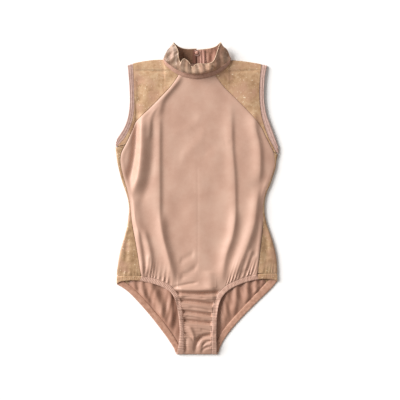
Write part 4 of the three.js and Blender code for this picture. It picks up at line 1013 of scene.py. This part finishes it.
def foldStation(free, seam, outX, outY, turn):
    angle = math.pi * (0.5 - turn)
    out = np.array([outX * math.cos(angle), outY * math.cos(angle), math.sin(angle)])
    centre = np.array([-outX * foldRadius, -outY * foldRadius, foldRadius])
    place = lambda p: flat3(p) + centre + out * foldRadius
    return place(free), place(seam), out, None


legHem = {
    "stations": 300, "step": 0.9, "backStations": 240, "lift": 0.6,
    "lap": 0.004, "hipShare": 0.035,           # shares of the hem's length
    "backWider": (1.2, 3.6),                   # the back hem is wider than its table, most at the hip
    "turnUp": {"left": 2.9, "right": 1.3},     # beside the strap the left hem turns up into shade
    "hipX": 184.9, "crotchOut": (4, 3),        # under the crotch fold the hem runs outwards
    # thickness, grooves (place across, depth) and ribs (depth, pitch)
    "legHem_": (shape["binding"], ((0.5, 0.3),), (0.24, 3.9)),
    "legHemLace_": (shape["binding"], ((0.5, 0.3),), (0.12, 4.8)),
    "legHemBack_": (2.4, ((0.4, 0.3),), (0.2, 3.2)),
}


def frontLegStations(side, low, high):
    stations = []
    for t in np.linspace(high, low, int(legHem["stations"] * (high - low) / legHem["step"])):
        free = legFree[side](t)
        tilt = legHem["lift"] + legHem["turnUp"][side] * smooth((-205 - free[1]) / 25)
        tilt = tilt * smooth((free[1] + 357) / 12) * smooth((186 - abs(free[0])) / 14)
        stations.append((flat3(free), flat3(legSeam[side](t)), (0, 0, 1), float(tilt)))
    return stations


def legBinding(side):
    s = sign[side]
    laceEnd = legSeamStart[side] + legHem["lap"]
    last = frontLeg[side][-1]
    freeOut, seamOut = legHem["crotchOut"]

    def atCrotch(turn, y):
        return (last[0] + s * freeOut * turn, y), (last[2] + s * seamOut * turn, y)

    pink = [foldStation(*atCrotch(turn, crotchY), 0, -1, turn) for turn in turns[::-1]]
    pink += frontLegStations(side, laceEnd - legHem["lap"] / 2, 1.0)
    gold = frontLegStations(side, legHem["hipShare"], laceEnd)
    hipFront, hipBack = frontLeg[side][0], backLeg[side][0]
    for turn in turns:
        free, seam = ((s * legHem["hipX"], hipFront[k] + (hipBack[k] - hipFront[k]) * turn) for k in (1, 3))
        gold.append(foldStation(free, seam, s, 0, turn))
    freePath = pathThrough([row[:2] for row in backLeg[side]])
    seamPath = pathThrough([row[2:] for row in backLeg[side]])
    back = []
    wider, hipWider = legHem["backWider"]
    for t in np.linspace(0.0, 1, legHem["backStations"]):
        free, seam = freePath(t), seamPath(t)
        inward = (seam - free) / np.linalg.norm(seam - free)
        seam = seam + inward * (wider + hipWider * math.exp(-t / 0.12))
        back.append((flat3(free), flat3(seam), (0, 0, -1), None))
    free, seam = atCrotch(1, crotchY + 4)
    back.append((flat3(free), flat3(seam), (0, 0, -1), None))
    runs = {"legHem_": (pink, legElastic), "legHemLace_": (gold, metallicLace),
            "legHemBack_": (back, backElastic)}
    parts = [ribbon(name + side, *run, *legHem[name]) for name, run in runs.items()]
    keep(parts[0], ["leg_binding_" + side])
    keep(parts[1], [])
    keep(parts[2], [])
    thread = stitchLine("legStitches_" + side, [outerLine(part.name, 0.5) for part in parts], sewingThread)


armhole = {"stations": 150, "topY": 300, "lift": 0.9, "drop": 8,
           "grooves": ((0.34, 1.2), (0.8, 1.5)), "ribs": (0.06, 5.5)}


def armholeBinding(side):
    s = sign[side]
    freeY, seamY = underarm[side]
    stations = []

    def edges(y, drop):
        return flat3((outlineX[side](y), y)), flat3((armholeX[side](y - drop) + s * gap * 1.5, y - drop))

    topY = armhole["topY"]
    levels = topY + (freeY + 5 - topY) * np.linspace(0, 1, armhole["stations"]) ** 0.9
    drops = armhole["drop"] * smooth((200 - levels) / (200 - freeY))
    for y, drop in zip(levels, drops):
        tilt = armhole["lift"] * smooth((y - freeY - 5) / 20) * smooth((topY - y) / 14)
        stations.append((*edges(y, drop), (0, 0, 1), float(tilt)))
    tipX = outlineX[side](freeY)
    for turn in turns:
        stations.append(foldStation((tipX, freeY), (tipX + s * 0.3, seamY + 0.4), s, 0, turn))
    for y, drop in zip(levels[::-1], drops[::-1]):
        stations.append((*edges(y, drop), (0, 0, -1), None))
    onShoulder = [(x, shoulderY[side](x)) for x in (outlineX[side](306), armholeX[side](309) + s * gap / 2)]
    stations += [foldStation(*onShoulder, 0, 1, turn) for turn in turns[::-1]]
    piece = ribbon("armholeBinding_" + side, stations, foldedElastic, shape["binding"], armhole["grooves"],
                   armhole["ribs"], closed=True)
    keep(piece, ["armhole_binding_" + side])
    thread = stitchLine("armholeStitches_" + side, [outerLine(piece.name, 0.57)], sewingThread)


# Neck: sections from the right side of the slit round the front to the left side
# each row: seam to the body, top of the neckband, ridge of the stand, free edge
neckSections = [
    ((0.9, 299.6, 0.9), (0.9, 309.4, 1.6), (0.9, 325, 4), (0.9, 341, 8)),
    ((30, 301, 1), (29, 311, 2.2), (30, 328, 6), (26, 343.6, 11)),
    ((56, 306.4, 1.4), (55, 316.4, 4), (54.6, 335, 10), (43, 348, 16)),
    ((74.2, 316.4, 2.8), (76.2, 323.6, 6.6), (66.4, 341, 14), (54, 357, 20)),
    ((73, 307, 6.4), (73.4, 316, 12), (62, 331, 20.4), (48.6, 343.4, 26)),
    ((64.4, 298, 8.2), (62.4, 306.6, 14.8), (54, 316, 22.4), (44.4, 328.6, 28.6)),
    ((50, 288.4, 9.2), (49, 297.2, 16.2), (44.6, 304.4, 24), (39.2, 316.6, 29.6)),
    ((38, 283, 9.3), (37.6, 291.8, 16.6), (33.6, 297.6, 28), (34.4, 311, 28.4)),
    ((26, 278.8, 9.4), (26, 287.6, 16.8), (23.6, 291.6, 28.6), (23, 307.6, 26.8)),
    ((0, 274.6, 9.4), (0, 283.6, 16.8), (0, 286.6, 28.4), (-1, 307, 27)),
    ((-13, 275.8, 9.4), (-13, 284.6, 16.8), (-12, 287.6, 28.2), (-10.4, 300.4, 26.6)),
    ((-26, 278.2, 9.4), (-26, 287.2, 16.8), (-23.6, 290.8, 28), (-19.6, 312.6, 27.6)),
    ((-38, 282.4, 9.3), (-37, 291.4, 16.6), (-33, 295.2, 27.6), (-29.6, 319, 28.6)),
    ((-49, 287.6, 9.2), (-48, 296.6, 16), (-42.6, 301, 26.6), (-37.6, 311, 27)),
    ((-63, 297.4, 8.2), (-61.6, 306.4, 14.6), (-53, 316, 24), (-42, 322, 27)),
    ((-72.6, 307, 6.4), (-72.6, 316, 12), (-62, 331, 21), (-44, 339, 26)),
    ((-74.2, 317.2, 2.8), (-75, 323.6, 6.6), (-65.6, 341, 14), (-53.8, 357, 20)),
    ((-56, 306.4, 1.4), (-55, 316.4, 4), (-54.4, 335.4, 10), (-45, 349.4, 16)),
    ((-30, 301, 1), (-29, 311, 2.2), (-30, 328.6, 6), (-27, 343, 11)),
    ((-0.9, 299.6, 0.9), (-0.9, 309.4, 1.6), (-0.9, 325, 4), (-0.9, 343.6, 8)),
]
neckLevels = [pathThrough([row[k] for row in neckSections]) for k in range(4)]
neckFrontY = curveOf([row[0] for row in neckSections[4:16]], 0, 1)


def neckGrid(around, up):
    # the neck's surface: up is 0 at the seam, 1 at the band's top, 2 at the ridge, 3 at the free edge
    around = np.asarray(around, float)
    levels = np.stack([level(around) for level in neckLevels])
    rows = []
    for u in up:
        k = int(min(math.floor(u), 2))
        f = u - k
        p = [levels[min(max(k + d, 0), 3)] for d in (-1, 0, 1, 2)]
        low = p[2] - p[1] if k == 0 else (p[2] - p[0]) / 2
        high = p[2] - p[1] if k == 2 else (p[3] - p[1]) / 2
        w = (1 + 2 * f) * (1 - f) ** 2
        rows.append(w * p[1] + (1 - w) * p[2] + f * (1 - f) * ((1 - f) * low - f * high))
    return np.stack(rows)


def neckOut(grid):
    # outward normals of the neck's surface
    normal = gridNormals(grid)
    middle = grid.shape[1] // 2
    return normal if normal[0, middle, 1] < 0 or normal[0, middle, 2] > 0 else -normal


neckband = {"columns": 300, "half": 0.75, "crown": 0.6, "groove": 0.5, "stitchAt": 0.62}


def neckbandPiece():
    ups = np.linspace(0.04, 0.98, 13)
    band = neckGrid(spread(neckband["columns"]), ups)
    out = neckOut(band)
    crown = neckband["crown"] * np.sin(math.pi * ups)
    crown = crown - neckband["groove"] * np.exp(-(((ups - neckband["stitchAt"]) / 0.06) ** 2))
    outer = band + out * (neckband["half"] + crown[:, None, None])
    piece = shell("neckband", outer, band - out * neckband["half"], neckElastic)
    keep(piece, ["neckband"])
    row = np.argmin(np.abs(ups - neckband["stitchAt"]))
    thread = stitchLine("neckStitches", [outer[row] + out[row] * 0.1], sewingThread)


collar = {"columns": 520, "rows": 46, "thickness": 0.8, "rim": 0.8,
          "ruffles": 15, "depth": 0.85,       # ruffles of the free edge
          "stands": 18, "standDepth": 2.0}    # upright folds of the wall


def ruffle(around, up):
    calm = smooth((np.minimum(around, 1 - around) - 0.035) / 0.08)
    rise = max(0.0, (up - 1) / 2)
    wander = 0.4 * np.sin(9 * around) + 0.22 * np.sin(23 * around + 1)
    edge = np.sin(2 * math.pi * (collar["ruffles"] * around + wander))
    edge = edge * (0.7 + 0.3 * np.sin(31 * around)) + 0.25 * np.sin(2 * math.pi * 37 * around)
    stand = np.cos(2 * math.pi * (collar["stands"] * around + 0.2 * np.sin(12 * around)))
    stand = stand * (0.8 + 0.2 * np.sin(37 * around))
    # the folds are deep in the side walls and faint in front
    walls = 0.12 + 0.98 * (1 - np.exp(-(((around - 0.52) / 0.13) ** 2)))
    body = collar["standDepth"] * walls * math.sin(math.pi * min(rise * 1.35, 1)) * stand
    return calm * (collar["depth"] * rise ** 2.2 * edge + body)


def collarPiece():
    around = spread(collar["columns"])
    ups = np.linspace(1.03, 3, collar["rows"])
    grid = neckGrid(around, ups)
    grid = grid + neckOut(grid) * np.stack([ruffle(around, u) for u in ups])[:, :, None]
    wall = neckOut(grid) * (collar["thickness"] / 2)
    piece = shell("collar", grid + wall, grid - wall, shadedCollarLace, lining=collarLining)
    keep(piece, ["collar"])
    rim = keep(rolledEdge("collarRim", grid[-1], collar["rim"], laceEdge), [])


# Facings of the back opening. span: shares of the neck's round that each takes up;
# wide: a longer stretch there, which gives steady normals
placket = {
    "right": {"span": (0.002, 0.056), "wide": (0, 0.1), "flat": (0.023, 0.03), "cloth": facingSatin},
    "left": {"span": (0.972, 0.998), "wide": (0.9, 1), "flat": (0.014, 0.03), "cloth": shadedFacingUnder},
    "inset": 1.6, "thickness": 0.75, "fold": 0.6, "columns": 24, "rows": 30,
}


def placketPiece(side):
    form = placket[side]
    ups = np.linspace(1.06, 2.92, placket["rows"])
    grid = neckGrid(np.linspace(*form["span"], placket["columns"]), ups)
    out = neckOut(neckGrid(np.linspace(*form["wide"], placket["columns"]), ups))
    out = np.where(out[:, :, 2:] > 0, -out, out)
    s = np.linspace(0, 1, placket["columns"])[None, :, None]
    if side == "left":
        # the left facing runs on under the right one and closes the slit
        grid = grid + np.array([3.4, 0, 0]) * s ** 2 + np.array([0, 0, -2.2]) * s
    fold = placket["fold"] * np.sin(s * 5.4 * math.pi + 0.4) * (side == "right")
    under = grid - out * (placket["inset"] + fold)
    piece = shell("placket_" + side, under - out * placket["thickness"], under, form["cloth"])
    keep(piece, ["placket_" + side])


button = {
    "radius": 4.6, "height": 4.0, "tilt": 14, "pleats": 8, "pleat": 0.02,
    # rings from the back to the crown: share of the radius, quarters of the height
    "rings": ((0, 0), (0.7, 0), (0.95, 0.5), (1, 1.1), (0.97, 1.9), (0.86, 2.8), (0.66, 3.5), (0.36, 3.9),
              (0, 4)),
}


def coveredButton():
    low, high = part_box("collar_button")
    angle = roundAngles(32)
    rings = []
    for share, quarters in button["rings"]:
        r = button["radius"] * max(share, 1e-3) * (1 + button["pleat"] * np.cos(button["pleats"] * angle))
        z = quarters * button["height"] / 4 - button["height"] / 2
        rings.append(np.stack([r * np.cos(angle), r * np.sin(angle), np.full_like(angle, z)], -1))
    x, y, z = np.moveaxis(np.stack(rings), -1, 0)
    c, n = math.cos(math.radians(button["tilt"])), math.sin(math.radians(button["tilt"]))
    grid = np.stack([x, y * c - z * n, y * n + z * c], -1) + np.array((low + high) / 2 / mm)
    keep(tube("collarButton", grid, facingSatin), ["collar_button"])


frontPanel()
for side in sides:
    frontYoke(side)
    backYoke(side)
    sidePanel(side)
    backHalf(side)
    legBinding(side)
    armholeBinding(side)
neckbandPiece()
collarPiece()
placketPiece("right")
placketPiece("left")
coveredButton()
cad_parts["collar_loop"].data.materials.clear()
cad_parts["collar_loop"].data.materials.append(foldedElastic)
print("cloth made:", len(pieces), "pieces")


# Floor, light and camera

stage = {
    "floorSize": 6, "floorZ": -0.0004,                                         # metres
    "azimuth": 154.0, "elevation": 26.0, "strength": 5.9, "softness": 38.0,    # sun, angles in degrees
    "fill": 0.4, "fillColor": (1.0, 0.92, 0.855, 1.0),
    # the camera looks straight down on 400 pixels of 2.3 mm
    "width": 0.92, "distance": 4.0, "centre": (0.0069, -0.00345), "sensor": 36,
}


def addFloor():
    bpy.ops.mesh.primitive_plane_add(size=stage["floorSize"], location=(0, 0, stage["floorZ"]))
    floor = bpy.context.object
    floor.name = "paperFloor"
    floor.data.materials.append(paper)


def addLight():
    sun = addObject("keyLight", bpy.data.lights.new("keyLight", "SUN"))
    a, e = math.radians(stage["azimuth"]), math.radians(stage["elevation"])
    direction = Vector((math.cos(a) * math.cos(e), math.sin(a) * math.cos(e), math.sin(e)))
    sun.rotation_mode = "QUATERNION"
    sun.rotation_quaternion = direction.to_track_quat("Z", "Y")
    sun.data.energy = stage["strength"]
    sun.data.angle = math.radians(stage["softness"])
    world = bpy.data.worlds.new("studio")
    world.use_nodes = True
    bpy.context.scene.world = world
    background = world.node_tree.nodes["Background"]
    background.inputs["Color"].default_value = stage["fillColor"]
    background.inputs["Strength"].default_value = stage["fill"]
    bpy.context.scene.view_settings.view_transform = "Standard"
    bpy.context.scene.view_settings.look = "None"


def addCamera():
    camera = addObject("camera", bpy.data.cameras.new("camera"))
    camera.location = (*stage["centre"], stage["distance"])
    camera.data.sensor_width = stage["sensor"]
    camera.data.lens = stage["sensor"] * stage["distance"] / stage["width"]
    camera.data.clip_end = 50
    bpy.context.scene.camera = camera


addFloor()
addLight()
addCamera()
print("stage set")
